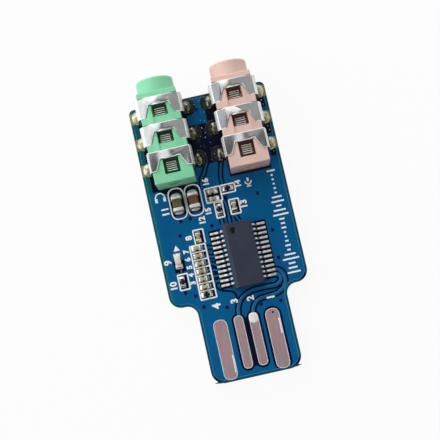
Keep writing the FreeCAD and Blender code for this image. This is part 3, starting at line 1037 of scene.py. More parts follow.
@dataclass
class Board:
    """The printed board: laminate, copper, tracks, through holes and plug contacts."""

    rim: float = 0.35
    foil: float = 0.035
    ridge: float = 0.11
    cutter_reach: float = 0.2
    contact_gap: float = 0.3
    data_width: float = 0.42
    part_width: float = 0.26
    track_bend: float = 0.7
    track_gap: float = 0.26
    gap_bend: float = 0.5
    hole_collar: float = 0.27
    hole_rise: float = 0.025
    hole_well: float = 0.17
    hole_sink: float = 0.018
    hole_ease: float = 0.02
    contact_ease: float = 0.045
    edge_bead: float = 0.09
    edge_height: float = 0.03
    drop_inset: float = 0.03
    drop_reach: float = 1.4
    drop_lift: float = 0.004
    drop_height: float = 0.07
    painted_highlight_width: float = 0.2
    painted_highlight_bend: float = 0.6
    painted_highlight_height: float = 0.012
    power_hole: Point = (3.62, -12.72)
    power_hole_radius: float = 0.15
    power_hole_height: float = 0.02
    power_hole_ease: float = 0.008
    burr_at: float = 5.4
    burr_length: float = 0.9
    burr_root: float = 0.19
    burr_point: float = 0.02375
    burr_ease: float = 0.019
    contacts: tuple[str, ...] = (
        "ground_contact", "data_plus_contact", "data_minus_contact", "power_contact"
    )
    data_tracks: tuple[tuple[Point, ...], ...] = (
        ((-0.85, -12.4), (-0.68, -11.1), (-0.1, -10.13), (0.7, -9.63), (1.44, -9.36), (2.58, -9.27),
         (3.87, -9.31), (4.88, -9.37), (5.5, -8.99), (5.68, -8.52), (5.5, -7.98), (4.9, -7.93)),
        ((1.03, -12.4), (1.31, -11.47), (1.78, -10.89), (2.55, -10.55), (3.59, -10.53),
         (4.73, -10.44), (5.69, -9.97), (6.15, -9.31), (6.21, -8.46), (6.02, -7.82), (5.6, -7.38),
         (4.9, -7.3)),
    )
    part_tracks: tuple[tuple[Point, ...], ...] = (
        ((-3.75, -2.3), (-2.9, -2.6), (-2.0, -2.65)),
        ((-3.75, -3.4), (-2.9, -3.8), (-2.0, -3.92)),
        ((-3.75, -4.4), (-2.8, -4.75), (-2.0, -5.19)),
        ((-3.75, -5.45), (-2.8, -5.6), (-2.0, -5.83)),
        ((-3.75, -6.5), (-2.9, -6.45), (-2.0, -6.46)),
        ((-3.75, -7.55), (-2.9, -7.2), (-2.0, -7.1)),
        ((-0.26, 1.45), (-0.26, 0.7), (-0.26, 0.05)),
        ((1.75, 1.35), (1.75, 0.6), (2.0, 0.0)),
        ((-0.05, 3.3), (0.75, 3.0), (0.78, 1.4), (0.75, 0.0)),
        ((-6.9, -4.6), (-6.95, -5.2), (-7.0, -5.7)),
        ((-0.5, 8.6), (-1.1, 7.4), (-1.75, 6.5), (-1.9, 5.3)),
        ((1.5, 8.6), (1.0, 7.0), (0.85, 6.1), (0.9, 4.8)),
    )
    gap_lines: tuple[tuple[float, tuple[Point, ...]], ...] = (
        (0.3, ((-2.87, -7.0), (-2.83, -8.04), (-2.39, -8.47), (-0.87, -8.95), (-0.56, -9.36),
               (-0.6, -10.2))),
    )
    bare: tuple[Area, ...] = (
        (-2.35, -0.75, -8.4, -0.5),
        (3.75, 5.35, -8.4, -0.5),
        (-6.4, -4.62, 2.4, 5.65),
        (-4.2, -2.42, 2.4, 5.65),
        (-1.45, 0.3, 3.1, 4.95),
        (0.62, 2.25, 4.15, 4.98),
        (-0.62, 0.14, 1.1, 2.95),
        (0.42, 1.1, 0.2, 3.7),
        (1.36, 2.36, 1.16, 2.86),
        (-4.2, -3.14, -1.8, -0.1),
        (-5.05, -3.25, -9.0, -2.05),
        (-7.42, -6.42, -7.2, -5.42),
        (-7.75, -6.25, -4.95, -3.4),
        # Bare gaps between and beside the sockets: bare laminate whose darkness here is partly
        # painted shade of the sockets.
        (-2.4, 2.4, 8.35, 13.85),
        (0.75, 2.4, 13.7, 15.75),
        (-2.4, -1.75, 13.7, 15.75),
        (-9.5, -7.3, 6.1, 17.6),
        (-0.5, 0.5, -19.05, -12.6),
        # Bare strips along the headphone socket's rear and round the microphone socket's rear
        # corner: a painted shadow of the housings.
        (-7.5, -2.3, 5.6, 6.4),
        (2.15, 2.6, 6.0, 8.5),
        (2.15, 7.8, 6.0, 6.42),
        (8.0, 8.85, 14.25, 15.65),
        (8.0, 8.85, 10.6, 12.0),
        (8.05, 8.85, 7.5, 8.4),
    )
    holes: tuple[Point, ...] = (
        (-6.11, -0.245), (5.18, 3.065), (-5.6, 1.6), (-4.3, 1.7), (-7.02, -7.765),
        (-5.82, -8.435), (-5.04, -10.095), (-2.1, -10.8), (-1.7, 0.15), (5.0, -11.45),
        (2.35, -11.355), (5.95, -5.9), (6.0, -2.155), (0.1, 12.9),
        (-0.95, 11.55), (-0.35, 10.75), (0.5, 10.2), (0.35, 8.75), (-0.3, 15.9), (-1.0, 16.9),
    )
    painted_highlights: tuple[tuple[Point, ...], ...] = (
        ((4.2, -13.6), (4.25, -14.4), (4.2, -15.6)),
        ((-2.77, -17.0), (-2.74, -18.2), (-2.82, -19.3)),
    )
    beads: tuple[tuple[float, float, float], ...] = (
        (-0.15, 13.25, 0.1), (0.2, 12.55, 0.06), (-0.55, 12.2, 0.05), (0.05, 11.9, 0.09),
        (-0.8, 10.9, 0.05), (0.55, 11.1, 0.05), (0.75, 9.5, 0.07), (0.95, 9.2, 0.05),
        (-0.4, 9.75, 0.06), (1.2, 12.9, 0.05), (-1.35, 12.75, 0.06), (0.2, 8.8, 0.05),
        (8.45, 15.2, 0.09), (8.6, 14.6, 0.05), (8.5, 11.6, 0.09), (8.65, 11.0, 0.06),
        (8.55, 8.1, 0.07), (-0.45, 16.6, 0.07), (0.25, 16.95, 0.06), (0.6, 15.3, 0.06),
        (-0.1, 14.35, 0.05), (0.5, 14.1, 0.06),
    )

    def build(self) -> None:
        """Model the copper and dress the laminate and the contacts."""
        laminate = frame["nodes"]["circuit_board"]
        Bench.coat(laminate, LAMINATE)
        self.build_pour()
        Bench.hand_over(
            ribbons("copper_tracks", self.track_strokes(), BOARD_TOP, self.foil),
            MASKED_TRACK, Slot.SOLDER_MASK,
        )
        self.build_holes()
        self.build_beads()
        for name in self.contacts:
            strip = Bench.copy(name, f"{name}_strip")
            Bench.ease(strip, self.contact_ease)
            Bench.hand_over(strip, TINNED_COPPER, Slot.TINNED_COPPER, name)
        self.build_contact_tin()
        self.build_burrs()

    def track_strokes(self, more: float = 0.0) -> list[Stroke]:
        """Return the tracks as strokes, each wider by this much."""
        kinds = ((self.data_width, self.data_tracks), (self.part_width, self.part_tracks))
        return [
            Stroke(path, width + more, bend=self.track_bend, steps=8)
            for width, paths in kinds
            for path in paths
        ]

    def build_pour(self) -> None:
        """Model the upper copper, set in from the rim and open round pads and tracks."""
        pour = Bench.copy("circuit_board", "copper_pour")
        Bench.edit(pour)
        Bench.pick(pour, lambda at, normal: normal.z < UPWARD)
        bpy.ops.mesh.delete(type="FACE")
        bpy.ops.mesh.select_all(action="SELECT")
        bpy.ops.mesh.inset(thickness=self.rim * MM, depth=0.0)
        bpy.ops.mesh.select_all(action="INVERT")
        bpy.ops.mesh.delete(type="FACE")
        Bench.clear()
        self.build_ridge(pour)
        Bench.apply(pour, "SOLIDIFY", thickness=self.foil * MM, offset=1.0)
        for cutter in self.clearances():
            Bench.cut(pour, cutter)
        Bench.hand_over(pour, MASKED_COPPER, Slot.SOLDER_MASK)

    def build_ridge(self, sheet: Piece) -> None:
        """Model the low ridge that the mask forms over the edge of the upper copper.

        Args:
            sheet: The upper copper as a flat face, which is left as it is.
        """
        Bench.take(sheet)
        bpy.ops.object.duplicate()
        ridge = Bench.label(bpy.context.active_object, "copper_edge")
        Bench.edit(ridge)
        bpy.ops.mesh.delete(type="ONLY_FACE")
        Bench.take(ridge)
        bpy.ops.object.convert(target="CURVE")
        ridge = bpy.context.active_object
        ridge.data.bevel_depth = self.ridge / 2 * MM
        ridge.data.bevel_resolution = 2
        bpy.ops.object.convert(target="MESH")
        ridge = bpy.context.active_object
        Bench.edit(ridge)
        bpy.ops.mesh.remove_doubles(threshold=CLOSE)
        bpy.ops.transform.resize(value=(1, 1, 0.5), center_override=(0, 0, BOARD_TOP * MM))
        bpy.ops.transform.translate(value=(0, 0, self.ridge / 4 * MM))
        bpy.ops.mesh.normals_make_consistent(inside=False)
        Bench.clear()
        Bench.smooth(ridge, ROUND_WORK)
        Bench.hand_over(ridge, MASKED_RIDGE, Slot.SOLDER_MASK)

    def clearances(self) -> list[Piece]:
        """Return a cutter for each gap in the upper copper."""
        floor, top = BOARD_TOP - self.cutter_reach, BOARD_TOP + self.cutter_reach
        gap = self.contact_gap
        made = [
            Bench.slab((left, low, floor), (right, high, top))
            for left, right, low, high in self.bare
        ]
        for name in self.contacts[1:]:
            low, high = Bench.corners(name)
            middle, width = (low.x + high.x) / 2, high.x - low.x
            made.append(
                Bench.stadium(middle, low.y - gap, high.y + gap, width + 2 * gap, floor, top)
            )
        lines = self.track_strokes(2 * self.track_gap)
        lines += [
            Stroke(path, width, bend=self.gap_bend, steps=6) for width, path in self.gap_lines
        ]
        for line in lines:
            made.append(tubes("line_gap", [line], BOARD_TOP + self.foil / 2, line.width / 2))
        return made

    def build_holes(self) -> None:
        """Model one masked through hole and set a copy at each place."""
        lip = BOARD_TOP + self.foil + self.hole_rise
        hole = Bench.disc((0, 0), self.hole_collar, (BOARD_TOP, lip), 24)
        Bench.edit(hole)
        Bench.pick(hole, lambda at, normal: normal.z > UPWARD)
        bpy.ops.mesh.inset(thickness=(self.hole_collar - self.hole_well) * MM)
        bpy.ops.transform.translate(value=(0, 0, -self.hole_sink * MM))
        Bench.clear()
        Bench.apply(
            hole, "BEVEL", width=self.hole_ease * MM, segments=2, limit_method="ANGLE",
            angle_limit=SHARP,
        )
        Bench.smooth(hole, ROUND_WORK)
        copies = Bench.spread(hole, [Spot(x, y) for x, y in self.holes])
        Bench.hand_over(Bench.join("through_holes", copies), SUNK_MASK, Slot.SOLDER_MASK)

    def build_beads(self) -> None:
        """Model one solder bead and scatter copies between and beside the sockets."""
        Bench.clear()
        bpy.ops.mesh.primitive_uv_sphere_add(segments=16, ring_count=10, radius=MM)
        bead = bpy.context.active_object
        Bench.smooth(bead, ROUND_WORK)
        spots = [Spot(x, y, BOARD_TOP + radius, radius) for x, y, radius in self.beads]
        beads = Bench.join("solder_beads", Bench.spread(bead, spots))
        Bench.hand_over(beads, SOLDER, Slot.SOLDER)

    def build_contact_tin(self) -> None:
        """Model the tin at the contacts' edges, the drop, the streaks of painted highlight and the
        hole on them.
        """
        level = Bench.corners(self.contacts[0])[1].z
        inset = self.edge_bead / 2
        strokes = []
        for name in self.contacts:
            low, high = Bench.corners(name)
            outline = rectangle(low.x + inset, high.x - inset, low.y + inset, high.y - inset)
            bend = (high.x - low.x) / 2 - inset
            strokes.append(Stroke(outline, self.edge_bead, True, bend, 10))
        # The tin bead round each contact is white: a painted highlight.
        edges = ribbons("contact_edges", strokes, level - self.edge_height / 2, self.edge_height)
        Bench.hand_over(edges, TINNED_LEAD, Slot.TINNED_COPPER)
        low, high = Bench.corners("data_minus_contact")
        across = (low.x + self.drop_inset, high.x - self.drop_inset)
        along = (high.y - self.drop_reach, high.y - self.drop_inset)
        drop = dome(across, along, level + self.drop_lift, self.drop_height)
        Bench.hand_over(Bench.label(drop, "contact_drop"), FRESH_TIN_AND_HIGHLIGHT, Slot.SOLDER)
        # Streaks of white tin along two contacts' edges: painted highlights.
        strokes = [Stroke(path, self.painted_highlight_width, bend=self.painted_highlight_bend) for path in self.painted_highlights]
        painted_highlights = ribbons("contact_painted_highlights", strokes, level - self.painted_highlight_height / 3, self.painted_highlight_height)
        Bench.hand_over(painted_highlights, FRESH_TIN_AND_HIGHLIGHT, Slot.TINNED_COPPER)
        half = self.power_hole_height / 2
        hole = Bench.disc(self.power_hole, self.power_hole_radius, (level - half, level + half), 20)
        Bench.ease(Bench.label(hole, "power_contact_hole"), self.power_hole_ease)
        Bench.hand_over(hole, SUNK_MASK, Slot.SOLDER_MASK)

    def build_burrs(self) -> None:
        """Model the splinters of laminate where the tip was snapped off its panel."""
        along = Bench.corners("circuit_board")[0].y + self.burr_root
        made = []
        for side in (-1, 1):
            Bench.clear()
            bpy.ops.mesh.primitive_cone_add(
                vertices=8, radius1=self.burr_root * MM, radius2=self.burr_point * MM,
                depth=self.burr_length * MM,
                location=(side * self.burr_at * MM, along * MM, BOARD_TOP / 2 * MM),
                rotation=(0, side * math.pi / 2, 0),
            )
            splinter = Bench.settle()
            Bench.ease(splinter, self.burr_ease)
            made.append(splinter)
        Bench.hand_over(Bench.join("tip_burrs", made), RAW_LAMINATE, Slot.SOLDER_MASK)


@dataclass
class Print:
    """The white print: part outlines, plain numerals, pictograms and a row of level bars."""

    height: float = 0.055
    line: float = 0.23
    fine: float = 0.2
    box_bend: float = 0.1
    pair_bend: float = 0.15
    capsule_bend: float = 0.95
    headphones_at: Point = (-7.6, 5.2)
    microphone_at: Point = (4.3, 4.85)
    mark_at: Point = (-6.95, -1.88)
    mark_radius: float = 0.5
    mark_ease: float = 0.02
    bar_width: float = 0.28
    shortest_bar: float = 0.14
    longest_bar: float = 2.4
    numeral_growth: float = 0.05
    boxes: tuple[Area, ...] = (
        (-0.75, 0.28, 0.97, 3.07),
        (1.22, 2.5, 1.02, 3.0),
        (-5.2, -3.1, -9.165, -1.94),
        (-7.56, -6.26, -7.35, -5.28),
    )
    capsules: tuple[Area, ...] = (
        (-6.5, -4.47, 1.95, 6.1),
        (-4.28, -2.22, 1.95, 6.1),
    )
    numerals: tuple[tuple[str, float, float, float], ...] = (
        ("4", -3.35, -10.35, 1.5), ("3", -0.95, -10.2, 1.25), ("2", 1.2, -10.3, 1.25),
        ("1", 3.85, -10.75, 1.4), ("7", -5.75, -2.5, 0.95), ("6", -5.75, -3.55, 0.95),
        ("5", -5.75, -4.6, 0.95), ("4", -5.73, -5.65, 0.9), ("3", -5.73, -6.7, 0.9),
        ("8", -5.0, -0.8, 1.15), ("9", -8.4, -3.4, 1.3), ("10", -8.3, -6.6, 1.2),
        ("11", -7.25, 3.3, 1.3), ("12", -2.75, 1.1, 1.1), ("13", 3.1, 2.05, 1.2),
        ("14", 2.95, 4.85, 1.0), ("15", -1.7, 2.1, 1.0), ("16", -1.2, 6.0, 1.05),
    )

    def build(self) -> None:
        """Model the print and dress it in ink."""
        strokes = [Stroke(rectangle(*box), self.line, True, self.box_bend) for box in self.boxes]
        strokes += [
            Stroke(rectangle(*box), self.fine, True, self.capsule_bend, 8) for box in self.capsules
        ]
        strokes += self.shared_boxes() + self.column_lines()
        strokes += self.headphones() + self.microphone()
        self.ink(ribbons("part_outlines", strokes, BOARD_TOP, self.height))
        self.ink(ribbons("level_bars", self.level_bars(), BOARD_TOP, self.height))
        rise = (BOARD_TOP, BOARD_TOP + self.height)
        mark = Bench.label(Bench.disc(self.mark_at, self.mark_radius, rise, 3), "polarity_mark")
        Bench.ease(mark, self.mark_ease)
        self.ink(mark)
        self.build_numerals()

    def ink(self, piece: Piece) -> None:
        """Dress a piece of print."""
        Bench.hand_over(piece, PRINT_INK, None)

    def shared_boxes(self) -> list[Stroke]:
        """Return the boxes that share a side: a pair and its neighbour, a column and its head."""
        pair = rectangle(-1.65, 0.46, 3.18, 5.12)
        neighbour = [(0.57, 3.98), (2.42, 3.98), (2.42, 5.12), (0.57, 5.12)]
        head = [(-4.32, -1.83), (-4.32, 0.04), (-2.99, 0.04), (-2.99, -1.83)]
        return [
            Stroke(pair, self.line, True, self.pair_bend),
            Stroke(neighbour, self.line, bend=self.pair_bend),
            Stroke(head, self.line),
        ]

    def column_lines(self) -> list[Stroke]:
        """Return the lines between the parts of the column."""
        left, right, first, pitch, count = -5.09, -3.21, -8.055, 1.04, 6
        rows = [first + i * pitch for i in range(count)]
        return [Stroke([(left, y), (right, y)], self.fine) for y in rows]

    def headphones(self) -> list[Stroke]:
        """Return a plain headphone pictogram: a band and two cups."""
        x, y = self.headphones_at
        radius, lift, cup_at, cup_top, cup_low, cup_width = 0.64, 0.05, 0.56, 0.08, -0.5, 0.44
        band = arc((x, y + lift), radius, range(-90, 91, 18))
        cups = [
            [(x + side * cup_at, y + cup_top), (x + side * cup_at, y + cup_low)]
            for side in (-1, 1)
        ]
        return [Stroke(band, self.fine)] + [Stroke(cup, cup_width) for cup in cups]

    def microphone(self) -> list[Stroke]:
        """Return a plain microphone pictogram: head, cradle, stem and foot."""
        x, y = self.microphone_at
        radius, lift, head_width, half_foot = 0.42, 0.08, 0.36, 0.3
        head_top, head_low, stem_top, stem_low, foot = 0.52, 0.05, -0.34, -0.51, -0.6
        return [
            Stroke([(x, y + head_top), (x, y + head_low)], head_width),
            Stroke(arc((x, y + lift), radius, range(90, 271, 20)), self.fine),
            Stroke([(x, y + stem_top), (x, y + stem_low)], self.fine),
            Stroke([(x - half_foot, y + foot), (x + half_foot, y + foot)], self.fine),
        ]

    def level_bars(self) -> list[Stroke]:
        """Return a row of level bars along the board's right edge.

        Returns:
            Bars whose lengths follow a slow wave and a quick one, so that they don't repeat.
        """
        middle, start, pitch, count = 7.55, -8.2, 0.6, 24
        slow_swing, slow_step, slow_start = 0.45, 0.52, 0.4
        quick_swing, quick_step = 0.35, 1.9
        bars = []
        for i in range(count):
            slow = 1 - slow_swing + slow_swing * math.sin(i * slow_step + slow_start)
            quick = 1 - quick_swing + quick_swing * math.cos(i * quick_step)
            half = max(self.shortest_bar, self.longest_bar / 2 * slow * quick)
            y = start + i * pitch
            bars.append(Stroke([(middle - half, y), (middle + half, y)], self.bar_width))
        return bars

    def build_numerals(self) -> None:
        """Model the plain numerals, which read from the plug upwards."""
        made = []
        for text, x, y, size in self.numerals:
            Bench.clear()
            bpy.ops.object.text_add(
                location=(x * MM, y * MM, (BOARD_TOP + self.height / 2) * MM),
                rotation=(0, 0, math.pi / 2),
            )
            numeral = bpy.context.active_object.data
            numeral.body = text
            numeral.size = size * MM
            numeral.extrude = self.height / 2 * MM
            numeral.offset = self.numeral_growth * MM
            numeral.align_x = numeral.align_y = "CENTER"
            numeral.resolution_u = 4
            bpy.ops.object.convert(target="MESH")
            made.append(Bench.settle())
        self.ink(Bench.join("part_numerals", made))


@dataclass
class Chip:
    """The sound chip: moulded body, leads and the lands they are soldered to."""

    body_ease: float = 0.06
    mark_depths: Span = (0.02, 0.3)
    lead_ease: float = 0.035
    bend_facing: Span = (0.4, 0.15)
    rows: int = 12
    pitch: float = 0.635
    land_width: float = 0.3
    land_height: float = 0.06
    land_reach: Span = (2.55, 3.7)

    def build(self) -> None:
        """Model and dress the chip."""
        body = Bench.copy("chip_body", "chip_moulding")
        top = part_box("chip_body")[1].z
        shallow, deep = (top - depth * MM for depth in self.mark_depths)
        # The mark's near-black is a painted reflection.
        Bench.dress(body, CHIP_EPOXY, (
            MARK_EPOXY, lambda at, normal: normal.z > UPWARD and deep < at.z < shallow
        ))
        Bench.ease(body, self.body_ease)
        Bench.hand_over(body, None, Slot.CHIP_EPOXY, "chip_body")
        leads = Bench.copy("chip_leads", "chip_lead_rows")
        Bench.ease(leads, self.lead_ease)
        aside, rise = self.bend_facing
        # The bends' darker tin is painted shade.
        Bench.dress(leads, TINNED_LEAD, (
            SHADED_BEND_TIN, lambda at, normal: abs(normal.x) > aside and normal.z > rise
        ))
        Bench.hand_over(leads, None, Slot.TINNED_LEAD, "chip_leads")
        self.build_lands()

    def build_lands(self) -> None:
        """Model one soldered land and set a copy under each lead."""
        low, high = Bench.corners("chip_lands")
        start, end = self.land_reach
        half = self.land_width / 2
        land = Bench.slab((start, -half, low.z), (end, half, low.z + self.land_height))
        Bench.ease(land, self.lead_ease)
        x, first = (low.x + high.x) / 2, (low.y + high.y - (self.rows - 1) * self.pitch) / 2
        spots = [
            Spot(x, first + row * self.pitch, turn=turn)
            for row in range(self.rows)
            for turn in (0.0, math.pi)
        ]
        rows = Bench.join("chip_land_rows", Bench.spread(land, spots))
        Bench.hand_over(rows, SOLDER, Slot.SOLDER, "chip_lands")


@dataclass(frozen=True)
class Clip:
    """What differs from one spring clip to the next.

    Attributes:
        part: Its word in its node's name.
        root: Its band's rear edge in y.
        flare: How far its sides spring out below the shoulder.
        ribs: How many ribs cross its spring leaf.
        rise: The least rise of a normal on its band, which takes in sloping shoulders but
            no rounded edge.
    """

    part: str
    root: float
    flare: float
    ribs: int
    rise: float


@dataclass
class Socket:
    """One audio socket: housing, three spring clips and six solder joints.

    Attributes:
        name: First word of its nodes' names.
        middle: Its centre line in x.
        plastic: The housing's finish.
        depth: The finish of the springs deep in its windows, painted dark in the plastic's tint:
            painted shade and a painted reflection of the plastic.
        shoulder: The finish of the clips' left shoulders; where it is darker than the strip, the
            darkening is painted shade.
        slot: The housing's slot.
    """

    name: str
    middle: float
    plastic: Finish
    depth: Finish
    shoulder: Finish
    slot: Slot
    clips: tuple[Clip, ...] = (
        Clip("sleeve", 16.725, 0.28, 4, 0.8),
        Clip("ring", 13.125, 0.28, 4, 0.8),
        Clip("tip", 9.525, 0.18, 5, 0.98),
    )
    clip_ease: float = 0.055
    clip_top: float = 7.17
    painted_rim_width: float = 0.075
    shoulder_facing: Span = (-0.3, 0.7)
    fold_level: float = 5.95
    fold_slack: float = 0.01
    fold_half: float = 2.0
    tongue_half: float = 0.93
    tongue_drop: float = 0.15
    tongue_root: float = 0.05
    leaf_half: float = 0.7
    leaf_level: float = 6.56
    leaf_thickness: float = 0.06
    leaf_margin: float = 0.12
    leaf_ease: float = 0.02
    rib_start: float = 0.6
    rib_inset: float = 0.04
    rib_width: float = 0.12
    rib_pitch: float = 0.27
    rib_crown: float = 0.05
    foot_rows: tuple[float, ...] = (9.225, 12.825, 16.425)
    land_reach: Span = (2.9, 4.3)
    land_width: float = 1.6
    land_height: float = 0.07
    land_corner: float = 0.22
    land_ease: float = 0.03
    joint_reach: Span = (2.66, 4.12)
    joint_width: float = 1.85
    joint_height: float = 0.55
    puddle_reach: Span = (2.45, 4.72)
    puddle_width: float = 2.5
    puddle_height: float = 0.075

    def build(self) -> None:
        """Model and dress the socket."""
        housing = Bench.copy(f"{self.name}_socket_housing", f"{self.name}_socket_moulding")
        Bench.smooth(housing, FLAT_WORK)
        Bench.hand_over(housing, self.plastic, self.slot, f"{self.name}_socket_housing")
        for clip in self.clips:
            self.build_clip(clip)
            self.build_spring(clip)
        self.build_joints()

    def build_clip(self, clip: Clip) -> None:
        """Model one clip, its sides sprung out, with painted highlights on its rim, folds and
        rounded edges, and painted shade on its tongue and, where the socket's shoulder finish is
        darker, on its left shoulders.
        """
        node = f"{self.name}_{clip.part}_clip"
        sheet = Bench.copy(node, f"{node}_sheet")
        self.spring_out(sheet, clip.flare)
        Bench.ease(sheet, self.clip_ease)
        root = (clip.root + self.tongue_root) * MM
        aside, rise = self.shoulder_facing
        Bench.dress(
            sheet, NICKEL_SHEET,
            # Left shoulders: on the microphone socket a darker nickel, painted shade.
            (self.shoulder, lambda at, normal: normal.x < aside and normal.z > rise),
            # Folds and rounded edges in white tin: a painted highlight.
            (TINNED_LEAD, self.is_fold),
            # The tongue in the window: dark, a painted shade.
            (self.depth, lambda at, normal: self.in_window(at) and at.y < root),
        )
        self.paint_rim_highlight(sheet, clip.rise)
        Bench.hand_over(sheet, None, Slot.NICKEL_SHEET, node)

    @staticmethod
    def is_fold(at: Vector, normal: Vector) -> bool:
        """Tell a fold, or a rounded edge of the band, by the way it faces."""
        aside, side_rise, rise, forward, backward, leftward = 0.6, 0.06, 0.25, 0.3, -0.25, -0.2
        side = abs(normal.x) > aside and normal.z > side_rise
        front = normal.z > rise and normal.y > forward
        rear = normal.z > rise and normal.y < backward and normal.x > leftward
        return side or front or rear

    def in_window(self, at: Vector) -> bool:
        """Tell whether a place on a clip lies in its window, below the band."""
        inward = abs(at.x - self.middle * MM) < self.tongue_half * MM
        return inward and at.z < (self.clip_top - self.tongue_drop) * MM

    def paint_rim_highlight(self, sheet: Piece, rise: float) -> None:
        """Paint a highlight on the sheared rim round a clip's band and shoulders.

        Args:
            sheet: The dressed clip.
            rise: The least rise of a normal on its band.
        """
        level, top = 0.05, self.clip_top * MM

        def on_band(at: Vector, normal: Vector) -> bool:
            """Tell the band's flats from the tongue and from rounded edges."""
            return normal.z > rise and abs(normal.y) < level and not self.in_window(at)

        Bench.edit(sheet)
        Bench.pick(sheet, on_band)
        bpy.ops.mesh.inset(thickness=self.painted_rim_width * MM)
        bpy.ops.mesh.select_all(action="INVERT")
        Bench.pick(sheet, on_band, among=True)
        sheet.active_material_index = sheet.data.materials.find(TINNED_LEAD.name)
        bpy.ops.object.material_slot_assign()
        Bench.pick_points(sheet, lambda at: at.z > top)
        bpy.ops.transform.resize(value=(1, 1, 0), center_override=(0, 0, top))
        Bench.clear()

    def spring_out(self, sheet: Piece, flare: float) -> None:
        """Fold a clip's sides so that they stand off below the shoulder.

        Args:
            sheet: The clip.
            flare: How far they stand off.
        """
        fold = self.fold_level * MM
        Bench.edit(sheet)
        bpy.ops.mesh.bisect(plane_co=(0, 0, fold), plane_no=(0, 0, 1), threshold=CLOSE)
        for side in (-1, 1):
            Bench.pick_points(
                sheet,
                lambda at: abs(at.z - fold) < self.fold_slack * MM
                and side * (at.x - self.middle * MM) > self.fold_half * MM,
            )
            bpy.ops.transform.translate(value=(side * flare * MM, 0, 0))
        Bench.clear()

    def build_spring(self, clip: Clip) -> None:
        """Model the ribbed leaf that lies in a clip's window, dark with painted shade, with ribs
        lightened by a painted highlight.
        """
        rows = [clip.root - self.rib_start - i * self.rib_pitch for i in range(clip.ribs)]
        left, right = self.middle - self.leaf_half, self.middle + self.leaf_half
        leaf = Bench.slab(
            (left, rows[-1] - self.leaf_margin, self.leaf_level - self.leaf_thickness),
            (right, rows[0] + self.leaf_margin, self.leaf_level),
        )
        Bench.ease(Bench.label(leaf, f"{self.name}_{clip.part}_leaf"), self.leaf_ease)
        # The leaf is dark: painted shade.
        Bench.hand_over(leaf, self.depth, Slot.NICKEL_SHEET)
        start, end = left + self.rib_inset, right - self.rib_inset
        strokes = [Stroke([(start, y), (end, y)], self.rib_width) for y in rows]
        ribs = tubes(f"{self.name}_{clip.part}_ribs", strokes, self.leaf_level, self.rib_crown)
        Bench.smooth(ribs, EASED_WORK)
        # The ribs are pale: a painted highlight.
        Bench.hand_over(ribs, HIGHLIGHT_NICKEL, Slot.NICKEL_SHEET)

    def beside(self, side: int, reach: Span) -> Span:
        """Return where a stretch on one side of the socket starts and ends in x."""
        ends = sorted(self.middle + side * end for end in reach)
        return ends[0], ends[1]

    def build_joints(self) -> None:
        """Model the land and the soldered joint at each clip's foot; between the sockets the lands
        and joints are dark and a black puddle lies round them, all painted shade.
        """
        inward = -1 if self.middle > 0 else 1
        made = []
        for row, side in ((row, side) for row in self.foot_rows for side in (-1, 1)):
            # Between the sockets the joints are dressed dark: painted shade.
            in_shade = side == inward
            made.append(self.build_land(row, side))
            Bench.coat(made[-1], SHADED_FLUX if in_shade else FLUX_SKIN)
            half = self.joint_width / 2
            across = self.beside(side, self.joint_reach)
            made.append(dome(across, (row - half, row + half), BOARD_TOP, self.joint_height))
            Bench.coat(made[-1], SHADED_SOLDER if in_shade else FLUXED_SOLDER)
            if in_shade:
                half = self.puddle_width / 2
                across = self.beside(side, self.puddle_reach)
                made.append(dome(across, (row - half, row + half), BOARD_TOP, self.puddle_height))
                Bench.coat(made[-1], SHADE_PUDDLE)
        piece = Bench.join(f"{self.name}_joints", made)
        Bench.hand_over(piece, None, Slot.SOLDER, f"{self.name}_socket_solder")

    def build_land(self, row: float, side: int) -> Piece:
        """Model the land under one foot.

        Args:
            row: The foot's place in y.
            side: -1 for the left side of the socket and 1 for the right.

        Returns:
            The land.
        """
        left, right = self.beside(side, self.land_reach)
        half, top = self.land_width / 2, BOARD_TOP + self.land_height
        land = Bench.slab((left, row - half, BOARD_TOP), (right, row + half, top))
        Bench.round_corners(land, self.land_corner)
        Bench.ease(land, self.land_ease)
        return land


